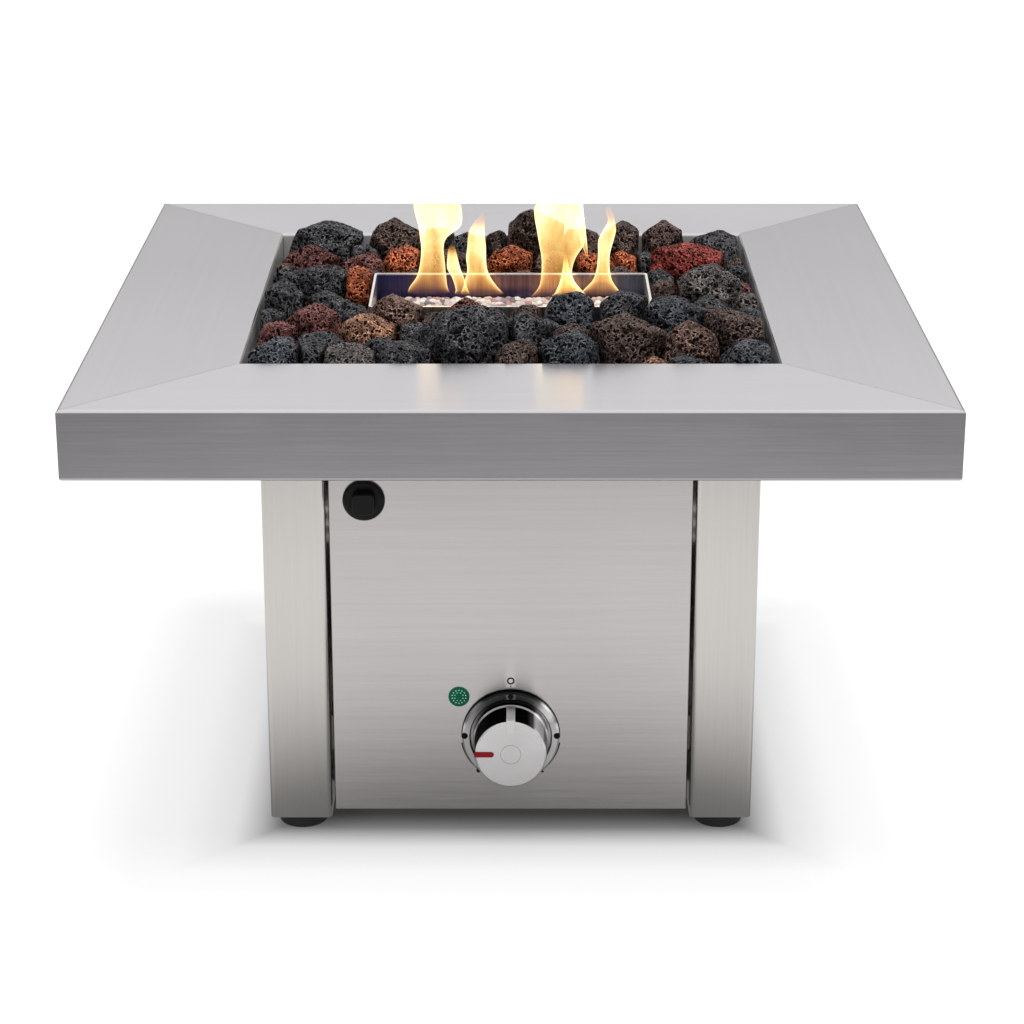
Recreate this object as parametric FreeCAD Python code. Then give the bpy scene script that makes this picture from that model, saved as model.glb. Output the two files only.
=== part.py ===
import FreeCAD, Part
import math
import os
import random

# Square fire pit table, in millimetres.
# +Z is up, the origin is on the floor under the middle of the table, the front faces -Y and +X is to
# the right of someone who stands in front of it.

# ---- driving dimensions -------------------------------------------------------------------------

TOP_SIZE = 660.0            # side of the square top
TOP_HEIGHT = 402.0          # floor to the top surface
APRON_HEIGHT = 54.0         # the top's folded edge
OPENING = 414.0             # side of the square fire opening
BODY_SIZE = 392.0           # side of the cabinet over its posts
POST_SIZE = 50.0
FOOT_HEIGHT = 12.0          # floor to the bottom of the posts
FOOT_DIAMETER = 39.0

TOP_SHEET = 1.5
TOP_BEND = 2.5              # outside radius of the top's bends
APRON_RETURN = 14.0         # lip folded in at the bottom of the apron
OPENING_LIP = 36.0          # depth of the fold round the opening
MITRE_GAP = 0.2

PANEL_SHEET = 1.5
PANEL_RECESS = 2.0          # panel face behind the posts' faces
PANEL_GAP = 2.5             # between a panel and the post beside it
PANEL_RETURN = 18.0
PANEL_LIP = 18.5
PANEL_BEND = 2.0
PANEL_FOOT_GAP = 7.0        # panel's bottom edge above the posts' ends
PANEL_FLANGE = 15.0
BASE_SHEET = 1.5

POST_WALL = 2.0
POST_CORNER = 4.0
POST_PLATE = 3.0

DECK_SHEET = 2.0
DECK_EDGE = 5.0             # deck's edge outside the bearers
BEARER_GAP = 8.0            # bearers' webs outside the opening
BEARER_WIDTH = 30.0
BEARER_SHEET = 2.0
BEARER_CORNER_GAP = 15.0    # each bearer ends this far short of the next one's web
GUSSET_SIZE = 90.0
GUSSET_SHEET = 2.0
GUSSET_GAP = 7.0            # gusset outside the bearers' webs

BOWL_SHEET = 1.5
BOWL_CLEARANCE = 0.5        # bowl inside the opening's fold
BOWL_DEPTH = 30.0

TRAY_LENGTH = 233.0
TRAY_WIDTH = 110.0
TRAY_WALL = 2.0
TRAY_CORNER = 3.0
TRAY_RIM_ABOVE_TOP = 3.0
TRAY_SCREW_INSET_X = 31.5   # tray screws inside the tray's outer faces
TRAY_SCREW_INSET_Y = 20.0
SCREEN_BELOW_RIM = 27.5
SCREEN_SHEET = 1.5
PEBBLE_DEPTH = 9.5

BURNER_DIAMETER = 16.0
BURNER_LENGTH = 190.0
BURNER_WALL = 1.2
MIXER_DIAMETER = 18.0
MIXER_DROP = 45.0           # mixer's lower end under the deck
PORT_DIAMETER = 2.0
PORT_PITCH = 15.0

GRATE_ROD = 5.0
GRATE_PITCH = 22.0
GRATE_BAR_HEIGHT = 8.0
GRATE_BAR_WIDTH = 4.0
GRATE_GAP = 4.0             # middle of the outer bars inside the bowl's wall

KNOB_HEIGHT = 85.0          # knob's axis above the floor
BEZEL_DIAMETER = 78.6
BEZEL_OPENING = 65.0
BEZEL_DEPTH = 6.0
SIDE_DOT_INSET = 2.1
SIDE_DOT_RISE = 1.5
KNOB_SKIRT_DIAMETER = 61.0
KNOB_DIAMETER = 57.6
KNOB_FACE_DEPTH = 39.0      # knob's face in front of the panel
KNOB_WALL = 3.0
KNOB_FACE_WALL = 7.0
POINTER_WIDTH = 7.0
KNOB_TRAVEL = 4.0
STEM_DIAMETER = 8.0
CAVITY_DIAMETER = 15.0

IGNITER_INSET = 28.1        # igniter's axis inside the panel's left edge
IGNITER_HEIGHT = 286.2
IGNITER_FLANGE = 33.4
IGNITER_BARREL = 26.0
BUTTON_SIZE = 17.3
BUTTON_CORNER = 4.0
BUTTON_PROUD = 13.0
BUTTON_TRAVEL = 3.0

BADGE_DIAMETER = 17.0
BADGE_X = -41.7
BADGE_HEIGHT = 118.5

INLET_X = 70.0
INLET_HEIGHT = 67.0
PIPE_DIAMETER = 8.0
INLET_THREAD = 13.2         # outside diameter of the inlet's parallel thread

M8 = 8.0
M6 = 6.0
M5 = 5.0
M4 = 4.0
M8_NUT = 13.0               # across flats
M6_NUT = 10.0
M5_NUT = 8.0

CLEAR = 0.3                 # between pieces that move or pass through each other
SEAT = 0.3                  # under a loose piece that rests on another

# ---- derived places -----------------------------------------------------------------------------

TOP_HALF = TOP_SIZE / 2
OPEN_HALF = OPENING / 2
BODY_HALF = BODY_SIZE / 2
POST_INNER = BODY_HALF - POST_SIZE
POST_MIDDLE = BODY_HALF - POST_SIZE / 2
APRON_BOTTOM = TOP_HEIGHT - APRON_HEIGHT
UNDER_TOP = TOP_HEIGHT - TOP_SHEET
DECK_BOTTOM = APRON_BOTTOM
DECK_TOP = DECK_BOTTOM + DECK_SHEET
POST_BOTTOM = FOOT_HEIGHT
PANEL_FACE = BODY_HALF - PANEL_RECESS
PANEL_BACK = PANEL_FACE - PANEL_SHEET
PANEL_INSIDE = PANEL_FACE - PANEL_RETURN
PANEL_HALF = POST_INNER - PANEL_GAP
PANEL_BOTTOM = POST_BOTTOM + PANEL_FOOT_GAP
PANEL_TOP = DECK_BOTTOM - 0.5
BOWL_HALF = OPEN_HALF - BOWL_CLEARANCE
BOWL_INNER = BOWL_HALF - BOWL_SHEET
BOWL_FLOOR = DECK_TOP + BOWL_SHEET
TRAY_X = TRAY_LENGTH / 2
TRAY_Y = TRAY_WIDTH / 2
TRAY_BOTTOM = BOWL_FLOOR
TRAY_FLOOR = TRAY_BOTTOM + TRAY_WALL
TRAY_RIM = TOP_HEIGHT + TRAY_RIM_ABOVE_TOP
SCREEN_TOP = TRAY_RIM - SCREEN_BELOW_RIM
SCREEN_BOTTOM = SCREEN_TOP - SCREEN_SHEET
BURNER_HEIGHT = SCREEN_BOTTOM - 2.0 - BURNER_DIAMETER / 2
BAR_TOP = BOWL_FLOOR + GRATE_BAR_HEIGHT
ROD_SUNK = 0.5              # weld sinks each rod this far into the bars
GRATE_TOP = BAR_TOP - ROD_SUNK + GRATE_ROD
ROCK_FLOOR = GRATE_TOP + SEAT
FRONT = -PANEL_FACE         # y of the front panel's face
KNOB_FACE = FRONT - KNOB_FACE_DEPTH
BEZEL_FACE = FRONT - BEZEL_DEPTH
LEAD_X = -(BURNER_LENGTH / 2 + 9.0)
THERMOCOUPLE_Y = -12.0
ELECTRODE_Y = 12.0
IGNITER_X = IGNITER_INSET - PANEL_HALF
BEARER_INSIDE = OPEN_HALF + BEARER_GAP
BEARER_LENGTH = 2 * (BEARER_INSIDE - BEARER_CORNER_GAP)
DECK_HALF = BEARER_INSIDE + BEARER_WIDTH + DECK_EDGE
DECK_BOLT = min(POST_MIDDLE, BOWL_INNER - M8_NUT - 1)   # x and y of the deck's bolts
GRATE_REACH = BOWL_INNER - GRATE_GAP


def corners():
    """The four corners: name and the signs of x and y."""
    return [("front_left", -1, -1), ("front_right", 1, -1), ("rear_left", -1, 1), ("rear_right", 1, 1)]


# ---- shape helpers ------------------------------------------------------------------------------

def vec(x, y, z):
    return FreeCAD.Vector(x, y, z)


def box(x0, x1, y0, y1, z0, z1):
    low, high = (min(x0, x1), min(y0, y1), min(z0, z1)), (max(x0, x1), max(y0, y1), max(z0, z1))
    return Part.makeBox(high[0] - low[0], high[1] - low[1], high[2] - low[2], vec(*low))


def rod(diameter, start, end):
    a, b = vec(*start), vec(*end)
    return Part.makeCylinder(diameter / 2, (b - a).Length, a, b - a)


def upright(diameter, x, y, z0, z1):
    return rod(diameter, (x, y, z0), (x, y, z1))


def along_y(diameter, x, z, y0, y1):
    return rod(diameter, (x, y0, z), (x, y1, z))


def hexagon(flats, x, y, z0, z1):
    """A hexagonal prism that stands along Z."""
    radius = flats / math.sqrt(3)
    points = []
    for i in range(7):
        angle = math.radians(60 * i)
        points.append(vec(x + radius * math.cos(angle), y + radius * math.sin(angle), z0))
    return Part.Face(Part.makePolygon(points)).extrude(vec(0, 0, z1 - z0))


def fused(shapes):
    whole = shapes[0].multiFuse(shapes[1:]) if len(shapes) > 1 else shapes[0]
    return whole.removeSplitter()


def turned(shape, quarter_turns):
    """A copy turned about the table's vertical axis."""
    copy = shape.copy()
    copy.rotate(vec(0, 0, 0), vec(0, 0, 1), 90 * quarter_turns)
    return copy


def rounded_prism(half_x, half_y, radius, z0, z1, x=0.0, y=0.0):
    """An upright prism with rounded corners."""
    block = box(x - half_x, x + half_x, y - half_y, y + half_y, z0, z1)
    edges = [e for e in block.Edges if abs(e.tangentAt(e.FirstParameter).z) > 0.9]
    return block.makeFillet(radius, edges)


def revolved_y(profile, x, z):
    """A turned piece: (radius, y) points round an axis along Y through (x, z)."""
    points = [vec(x + r, y, z) for r, y in profile]
    face = Part.Face(Part.makePolygon(points + points[:1]))
    return face.revolve(vec(x, 0, z), vec(0, 1, 0), 360)


def revolved_z(profile, x, y):
    """A turned piece: (radius, z) points round an upright axis through (x, y)."""
    points = [vec(x + r, y, z) for r, z in profile]
    face = Part.Face(Part.makePolygon(points + points[:1]))
    return face.revolve(vec(x, y, 0), vec(0, 0, 1), 360)


def unit(a, b):
    length = math.hypot(b[0] - a[0], b[1] - a[1])
    return (b[0] - a[0]) / length, (b[1] - a[1]) / length


def rounded_edges(points, radii, place):
    """Edges of an open flat line through the points, with an arc of the given radius at each corner."""
    edges = []
    last = points[0]
    for i in range(1, len(points) - 1):
        a, b, c = points[i - 1], points[i], points[i + 1]
        d1, d2 = unit(a, b), unit(b, c)
        turn = math.atan2(d1[0] * d2[1] - d1[1] * d2[0], d1[0] * d2[0] + d1[1] * d2[1])
        radius = radii[i - 1]
        reach = radius * math.tan(abs(turn) / 2)
        start = (b[0] - d1[0] * reach, b[1] - d1[1] * reach)
        end = (b[0] + d2[0] * reach, b[1] + d2[1] * reach)
        side = 1 if turn > 0 else -1
        centre = (start[0] - side * d1[1] * radius, start[1] + side * d1[0] * radius)
        out = unit(centre, b)
        middle = (centre[0] + out[0] * radius, centre[1] + out[1] * radius)
        edges.append(Part.LineSegment(place(*last), place(*start)).toShape())
        edges.append(Part.Arc(place(*start), place(*middle), place(*end)).toShape())
        last = end
    edges.append(Part.LineSegment(place(*last), place(*points[-1])).toShape())
    return edges, last


def folded_sheet(points, sheet, bend, place, length):
    """A folded sheet: the line runs along its left side, and `bend` is its bends' outside radius."""
    right, left_radii, right_radii = [], [], []
    for i, point in enumerate(points):
        before = unit(points[i - 1], point) if i else unit(point, points[i + 1])
        after = unit(point, points[i + 1]) if i < len(points) - 1 else before
        n1, n2 = (before[1], -before[0]), (after[1], -after[0])
        share = sheet / (1 + n1[0] * n2[0] + n1[1] * n2[1])
        right.append((point[0] + share * (n1[0] + n2[0]), point[1] + share * (n1[1] + n2[1])))
        if 0 < i < len(points) - 1:
            left_turn = before[0] * after[1] - before[1] * after[0] > 0
            left_radii.append(bend - sheet if left_turn else bend)
            right_radii.append(bend if left_turn else bend - sheet)
    left_edges = rounded_edges(points, left_radii, place)[0]
    right_edges = rounded_edges(right, right_radii, place)[0]
    caps = [
        Part.LineSegment(place(*points[-1]), place(*right[-1])).toShape(),
        Part.LineSegment(place(*points[0]), place(*right[0])).toShape(),
    ]
    wire = Part.Wire(Part.__sortEdges__(left_edges + caps + right_edges))
    return Part.Face(wire).extrude(length)


def bent_tube(diameter, points):
    """A solid tube or lead along straight runs joined by tangent arcs as large as the runs allow."""
    nodes = [vec(*p) for p in points]
    edges = []
    last = nodes[0]
    for i in range(1, len(nodes) - 1):
        d1 = (nodes[i] - nodes[i - 1]).normalize()
        d2 = (nodes[i + 1] - nodes[i]).normalize()
        half_turn = d1.getAngle(d2) / 2
        shorter = min((nodes[i] - nodes[i - 1]).Length, (nodes[i + 1] - nodes[i]).Length)
        reach = 0.45 * shorter
        radius = reach / math.tan(half_turn)
        start, end = nodes[i] - d1 * reach, nodes[i] + d2 * reach
        bisector = (d2 - d1).normalize()
        centre = nodes[i] + bisector * (radius / math.cos(half_turn))
        middle = centre - bisector * radius
        if (start - last).Length > 1e-6:
            edges.append(Part.LineSegment(last, start).toShape())
        edges.append(Part.Arc(start, middle, end).toShape())
        last = end
    edges.append(Part.LineSegment(last, nodes[-1]).toShape())
    spine = Part.Wire(edges)
    circle = Part.Wire(Part.makeCircle(diameter / 2, nodes[0], nodes[1] - nodes[0]))
    return spine.makePipeShell([circle], True, False)


# ---- table top ----------------------------------------------------------------------------------

def top_rail(quarter_turns):
    """One folded side of the top, cut at 45 degrees at both ends."""
    outer, inner = -TOP_HALF, -OPEN_HALF
    line = [
        (outer + APRON_RETURN, APRON_BOTTOM),
        (outer, APRON_BOTTOM),
        (outer, TOP_HEIGHT),
        (inner, TOP_HEIGHT),
        (inner, TOP_HEIGHT - OPENING_LIP),
    ]
    rail = folded_sheet(line, TOP_SHEET, TOP_BEND, lambda u, v: vec(-TOP_HALF, u, v), vec(TOP_SIZE, 0, 0))
    reach = TOP_HALF + 10
    apex = vec(0, -MITRE_GAP, 0)
    sector = Part.Face(Part.makePolygon([
        apex,
        vec(-reach, -reach - MITRE_GAP, 0),
        vec(reach, -reach - MITRE_GAP, 0),
        apex,
    ])).extrude(vec(0, 0, TOP_HEIGHT + 10))
    return turned(rail.common(sector), quarter_turns)


def corner_gussets():
    """Square plates under the top that join each pair of rails across their mitre."""
    near = BEARER_INSIDE + GUSSET_GAP
    plate = box(near, near + GUSSET_SIZE, near, near + GUSSET_SIZE, UNDER_TOP - GUSSET_SHEET, UNDER_TOP)
    return [turned(plate, i) for i in range(4)]


def top_bearers():
    """Channels that carry the top's inner edge on the deck."""
    y0, y1 = -BEARER_INSIDE - BEARER_WIDTH, -BEARER_INSIDE
    line = [(y0, DECK_TOP), (y1, DECK_TOP), (y1, UNDER_TOP), (y0, UNDER_TOP)]
    channel = folded_sheet(
        line[::-1],
        BEARER_SHEET,
        BEARER_SHEET + 1.0,
        lambda u, v: vec(-BEARER_LENGTH / 2, u, v),
        vec(BEARER_LENGTH, 0, 0),
    )
    holes = [upright(M6 + 2 * CLEAR, x, y, DECK_TOP - 1, DECK_TOP + 5) for x, y in screw_places()]
    channel = channel.cut(holes)
    return [turned(channel, i) for i in range(4)]


def screw_places():
    """The two screws in the front bearer, whose heads lie outside the body."""
    y = -max(BEARER_INSIDE + BEARER_WIDTH * 0.6, BODY_HALF + M6_NUT * 0.8)
    return [(-BEARER_LENGTH * 0.375, y), (BEARER_LENGTH * 0.375, y)]


def bearer_fixings():
    """Screws from under the deck into each bearer, with their nuts."""
    pieces = []
    above = DECK_TOP + BEARER_SHEET
    for x, y in screw_places():
        head = hexagon(M6_NUT, x, y, DECK_BOTTOM - 4, DECK_BOTTOM)
        screw = fused([head, upright(M6, x, y, DECK_BOTTOM - 1, above + 7)])
        nut = hexagon(M6_NUT, x, y, above, above + 5).cut(upright(M6 + CLEAR, x, y, above - 1, above + 8))
        for i in range(4):
            pieces += [turned(screw, i), turned(nut, i)]
    return pieces


# ---- body ---------------------------------------------------------------------------------------

def post(sx, sy):
    outside = rounded_prism(POST_SIZE / 2, POST_SIZE / 2, POST_CORNER, POST_BOTTOM, DECK_BOTTOM,
                            sx * POST_MIDDLE, sy * POST_MIDDLE)
    bore = POST_SIZE / 2 - POST_WALL
    inside = rounded_prism(bore, bore, POST_CORNER - POST_WALL, POST_BOTTOM - 1, DECK_BOTTOM + 1,
                           sx * POST_MIDDLE, sy * POST_MIDDLE)
    return outside.cut(inside)


def post_plates():
    """The plates welded inside each post's two ends, with a hole for the foot's stud or the deck's bolt."""
    plates = []
    half = POST_SIZE / 2 - POST_WALL - 0.1
    for name, sx, sy in corners():
        x, y = sx * POST_MIDDLE, sy * POST_MIDDLE
        for z, hole in ((POST_BOTTOM, POST_MIDDLE), (DECK_BOTTOM - POST_PLATE, DECK_BOLT)):
            plate = rounded_prism(half, half, POST_CORNER - POST_WALL, z, z + POST_PLATE, x, y)
            plates.append(plate.cut(upright(M8 + 2 * CLEAR, sx * hole, sy * hole, z - 1, z + POST_PLATE + 1)))
    return plates


def weld_nuts():
    nuts = []
    high = 6.5
    for name, sx, sy in corners():
        for z, place in ((POST_BOTTOM + POST_PLATE, POST_MIDDLE),
                         (DECK_BOTTOM - POST_PLATE - high, DECK_BOLT)):
            x, y = sx * place, sy * place
            nuts.append(hexagon(M8_NUT, x, y, z, z + high).cut(upright(M8 + 2 * CLEAR, x, y, z - 1, z + 8)))
    return nuts


def deck_bolts():
    bolts = []
    for name, sx, sy in corners():
        x, y = sx * DECK_BOLT, sy * DECK_BOLT
        head = hexagon(M8_NUT, x, y, DECK_TOP, DECK_TOP + 5)
        bolts.append(fused([head, upright(M8, x, y, DECK_TOP - 20, DECK_TOP + 1)]))
    return bolts


def plain_panel():
    """A folded panel for the front: face, two side returns with inward lips, and a bottom flange."""
    lip_end = PANEL_HALF - PANEL_LIP
    line = [
        (lip_end, -PANEL_INSIDE),
        (PANEL_HALF, -PANEL_INSIDE),
        (PANEL_HALF, -PANEL_FACE),
        (-PANEL_HALF, -PANEL_FACE),
        (-PANEL_HALF, -PANEL_INSIDE),
        (-lip_end, -PANEL_INSIDE),
    ]
    sheet = folded_sheet(line, PANEL_SHEET, PANEL_BEND, lambda u, v: vec(u, v, PANEL_BOTTOM),
                         vec(0, 0, PANEL_TOP - PANEL_BOTTOM))
    half = PANEL_HALF - PANEL_SHEET - 0.5
    flange = box(-half, half, -PANEL_FACE + PANEL_SHEET / 2, -PANEL_BACK + PANEL_FLANGE - 1,
                 PANEL_BOTTOM, PANEL_BOTTOM + PANEL_SHEET)
    lip = -PANEL_INSIDE
    holes = [along_y(M4 + 2 * CLEAR, x, z, lip - 3, lip + 3) for x, z in cleat_places()]
    return fused([sheet, flange]).cut(holes)


def front_panel():
    valve_hole = along_y(24, 0, KNOB_HEIGHT, FRONT - 5, FRONT + 5)
    behind = FRONT + PANEL_RETURN + 1
    igniter_hole = along_y(IGNITER_BARREL + 2 * CLEAR, IGNITER_X, IGNITER_HEIGHT, FRONT - 5, behind)
    bracket_holes = [along_y(M4 + 2 * CLEAR, x, KNOB_HEIGHT, FRONT - 5, FRONT + 5) for x in bracket_screws()]
    return plain_panel().cut([valve_hole, igniter_hole] + bracket_holes)


def rear_panel():
    """The rear panel: low and high vent slots and the gas inlet's hole."""
    panel = turned(plain_panel(), 2)
    tools = [along_y(INLET_THREAD + 2 * CLEAR, INLET_X, INLET_HEIGHT, PANEL_BACK - 5, PANEL_FACE + 5)]
    for row in (PANEL_BOTTOM + 90, PANEL_TOP - 60):
        for i in range(3):
            z = row + 14 * i
            for x0, x1 in ((-95, -15), (15, 95)):
                slot = box(x0, x1, PANEL_BACK - 5, PANEL_FACE + 5, z, z + 6)
                ends = [along_y(6, x, z + 3, PANEL_BACK - 5, PANEL_FACE + 5) for x in (x0, x1)]
                tools.append(fused([slot] + ends))
    return panel.cut(tools)


def cleat_places():
    """x and z of the four panel screws."""
    x = PANEL_HALF - PANEL_LIP / 2
    return [(s * x, z) for s in (-1, 1) for z in (PANEL_BOTTOM + 60, PANEL_TOP - 25)]


def panel_fixings():
    """Angle cleats on the posts behind each panel's lips, and the screws through them."""
    pieces = []
    seat = -PANEL_INSIDE
    for x, z in cleat_places():
        side = 1 if x > 0 else -1
        wall = side * POST_INNER
        leg = box(wall, wall - side * 1.5, seat, seat + 24, z - 15, z + 15)
        lap = box(wall, side * (PANEL_HALF - PANEL_LIP + 1), seat, seat + 1.5, z - 15, z + 15)
        cleat = fused([leg, lap]).cut(along_y(M4 + 2 * CLEAR, x, z, seat - 1, seat + 3))
        head = along_y(7.5, x, z, seat + 1.5, seat + 4)
        screw = fused([head, along_y(M4, x, z, seat - 6, seat + 2)])
        for i in range(4):
            pieces += [turned(cleat, i), turned(screw, i)]
    return pieces


def base_plate():
    """The vented floor of the cabinet, which lies on the panels' bottom flanges between the posts."""
    z0 = PANEL_BOTTOM + PANEL_SHEET
    z1 = z0 + BASE_SHEET
    tab = PANEL_HALF - PANEL_LIP - 1
    reach = PANEL_BACK - 1
    middle = POST_INNER - 0.5
    plate = fused([
        box(-tab, tab, -reach, reach, z0, z1),
        box(-reach, reach, -tab, tab, z0, z1),
        box(-middle, middle, -middle, middle, z0, z1),
    ])
    slots = []
    for i in range(-3, 4):
        for s in (-1, 1):
            x, y = 28.0 * i, s * 60.0
            slot = box(x - 4, x + 4, y - 36, y + 36, z0 - 1, z1 + 1)
            slots.append(fused([slot] + [upright(8, x, y + e, z0 - 1, z1 + 1) for e in (-36, 36)]))
    return plate.cut(slots)


def levelling_foot(sx, sy):
    """A swivel pad, and the stud whose ball foot it holds; the stud has a hex socket reached from below."""
    x, y = sx * POST_MIDDLE, sy * POST_MIDDLE
    r = FOOT_DIAMETER / 2
    top = FOOT_HEIGHT - 0.5
    pad = revolved_z([
        (5, 0), (r - 1, 0), (r, 1), (r, top - 1.5), (r - 1.5, top),
        (5.4, top), (5.4, 8.6), (7.3, 8.6), (7.3, 3.5), (5, 3.5),
    ], x, y)
    stud = revolved_z([
        (0, 3.8), (7, 3.8), (7, 8.3), (M8 / 2, 8.3), (M8 / 2, 44), (M8 / 2 - 1, 45), (0, 45),
    ], x, y)
    return pad, stud.cut(hexagon(5, x, y, 3, 7))


# ---- deck, bowl, tray and grate -----------------------------------------------------------------

def tray_screw_places():
    x, y = TRAY_X - TRAY_SCREW_INSET_X, TRAY_Y - TRAY_SCREW_INSET_Y
    return [(s * x, t * y) for s in (-1, 1) for t in (-1, 1)]


def floor_holes(z0, z1):
    """The holes that the deck, the bowl and the tray share: mixer, flame sensing and tray screws."""
    holes = [upright(MIXER_DIAMETER + 4, 0, 0, z0, z1)]
    holes += [upright(8, LEAD_X, ELECTRODE_Y, z0, z1), upright(6, LEAD_X, THERMOCOUPLE_Y, z0, z1)]
    holes += [upright(M5 + 2 * CLEAR, x, y, z0, z1) for x, y in tray_screw_places()]
    return holes


def deck_plate():
    plate = box(-DECK_HALF, DECK_HALF, -DECK_HALF, DECK_HALF, DECK_BOTTOM, DECK_TOP)
    holes = floor_holes(DECK_BOTTOM - 1, DECK_TOP + 1)
    for name, sx, sy in corners():
        x, y = sx * DECK_BOLT, sy * DECK_BOLT
        holes.append(upright(M8 + 2 * CLEAR, x, y, DECK_BOTTOM - 1, DECK_TOP + 1))
    for x, y in screw_places():
        for i in range(4):
            holes.append(turned(upright(M6 + 2 * CLEAR, x, y, DECK_BOTTOM - 1, DECK_TOP + 1), i))
    return plate.cut(holes)


def fire_bowl():
    """The pan round the tray, with drain holes that clear the deck's bolts."""
    outside = rounded_prism(BOWL_HALF, BOWL_HALF, 3, DECK_TOP, DECK_TOP + BOWL_DEPTH)
    inside = rounded_prism(BOWL_INNER, BOWL_INNER, 3 - BOWL_SHEET, BOWL_FLOOR, DECK_TOP + BOWL_DEPTH + 1)
    holes = floor_holes(DECK_TOP - 1, BOWL_FLOOR + 1)
    for name, sx, sy in corners():
        holes.append(upright(20, sx * DECK_BOLT, sy * DECK_BOLT, DECK_TOP - 1, BOWL_FLOOR + 1))
    return outside.cut([inside] + holes)


def burner_tray():
    outside = rounded_prism(TRAY_X, TRAY_Y, TRAY_CORNER, TRAY_BOTTOM, TRAY_RIM)
    inner_x, inner_y = TRAY_X - TRAY_WALL, TRAY_Y - TRAY_WALL
    inside = rounded_prism(inner_x, inner_y, TRAY_CORNER - TRAY_WALL, TRAY_FLOOR, TRAY_RIM + 1)
    tray = outside.cut([inside] + floor_holes(TRAY_BOTTOM - 1, TRAY_FLOOR + 1))
    ledges = []
    for s in (-1, 1):
        for x in (-80, 0, 80):
            y0, y1 = s * (inner_y - 5), s * (inner_y + 0.5)
            ledges.append(box(x - 8, x + 8, y0, y1, SCREEN_BOTTOM - 1.5, SCREEN_BOTTOM))
    return fused([tray] + ledges)


def tray_fixings():
    """Screws down through the tray, bowl and deck, with nuts under the deck."""
    pieces = []
    for x, y in tray_screw_places():
        head = upright(9.5, x, y, TRAY_FLOOR, TRAY_FLOOR + 3)
        pieces.append(fused([head, upright(M5, x, y, DECK_BOTTOM - 8, TRAY_FLOOR + 1)]))
        nut = hexagon(M5_NUT, x, y, DECK_BOTTOM - 4, DECK_BOTTOM)
        pieces.append(nut.cut(upright(M5 + CLEAR, x, y, DECK_BOTTOM - 6, DECK_BOTTOM + 1)))
    return pieces


def media_screen():
    half_x, half_y = TRAY_X - TRAY_WALL - 0.25, TRAY_Y - TRAY_WALL - 0.25
    plate = rounded_prism(half_x, half_y, TRAY_CORNER - TRAY_WALL + 0.5, SCREEN_BOTTOM, SCREEN_TOP)
    holes = []
    pitch = 20.0
    across, along = int((half_x - 10) // pitch), int((half_y - 10) // pitch)
    for i in range(-across, across + 1):
        for j in range(-along, along + 1):
            holes.append(upright(6, pitch * i, pitch * j, SCREEN_BOTTOM - 1, SCREEN_TOP + 1))
    return plate.cut(holes)


def pebble_bed():
    """The layer of loose media on the screen, as one slab."""
    half_x, half_y = TRAY_X - TRAY_WALL - CLEAR, TRAY_Y - TRAY_WALL - CLEAR
    return rounded_prism(half_x, half_y, TRAY_CORNER - TRAY_WALL + 0.5, SCREEN_TOP, SCREEN_TOP + PEBBLE_DEPTH)


def burner_tube():
    """The closed burner tube with its rows of ports, and the mixer tube that feeds it from below."""
    half = BURNER_LENGTH / 2
    radius = BURNER_DIAMETER / 2
    z = BURNER_HEIGHT
    low = DECK_BOTTOM - MIXER_DROP
    tube = rod(BURNER_DIAMETER, (-half, 0, z), (half, 0, z))
    outside = fused([tube, upright(MIXER_DIAMETER, 0, 0, low, z)])
    bore = rod(BURNER_DIAMETER - 2 * BURNER_WALL, (-half + 1.5, 0, z), (half - 1.5, 0, z))
    mixer_bore = upright(MIXER_DIAMETER - 2 * BURNER_WALL, 0, 0, low - 1, z - 0.5)
    ports = []
    count = int((half - 10) // PORT_PITCH)
    for i in range(-count, count + 1):
        for s in (-1, 1):
            x = PORT_PITCH * i
            ports.append(rod(PORT_DIAMETER, (x, 0, z), (x, s * radius * 0.9, z + radius * 0.9)))
    return outside.cut([fused([bore, mixer_bore])] + ports)


def burner_saddles():
    saddles = []
    for s in (-1, 1):
        x = s * BURNER_LENGTH * 0.3
        plate = box(x - 1.5, x + 1.5, -14, 14, TRAY_FLOOR, BURNER_HEIGHT)
        groove = rod(BURNER_DIAMETER + 0.2, (x - 3, 0, BURNER_HEIGHT), (x + 3, 0, BURNER_HEIGHT))
        saddles.append(plate.cut(groove))
    return saddles


def injector_bracket():
    """A hat-shaped strap under the deck that holds the injector below the mixer, open to the air."""
    z0, z1 = injector_seat(), DECK_BOTTOM
    line = [(-45, z1), (-25, z1), (-25, z0), (25, z0), (25, z1), (45, z1)]
    strap = folded_sheet([(x, z) for x, z in line], 2.0, 3.0, lambda u, v: vec(u, -12, v), vec(0, 24, 0))
    return strap.cut(upright(10 + 2 * CLEAR, 0, 0, z0 - 5, z0 + 5))


def injector_seat():
    """Height of the strap's upper face under the mixer."""
    return DECK_BOTTOM - MIXER_DROP - 18


def injector():
    z = injector_seat()
    body = revolved_z([
        (0, z - 24), (5, z - 24), (5, z), (9, z), (9, z + 6),
        (5, z + 6), (5, z + 14), (2.8, z + 14), (2.8, z + 23), (0, z + 23),
    ], 0, 0)
    drilling = upright(1.2, 0, 0, z + 15, z + 24)
    nut = hexagon(17, 0, 0, z - 7, z - 2).cut(upright(10 + 2 * CLEAR, 0, 0, z - 8, z - 1))
    return [body.cut(drilling), nut]


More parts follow.
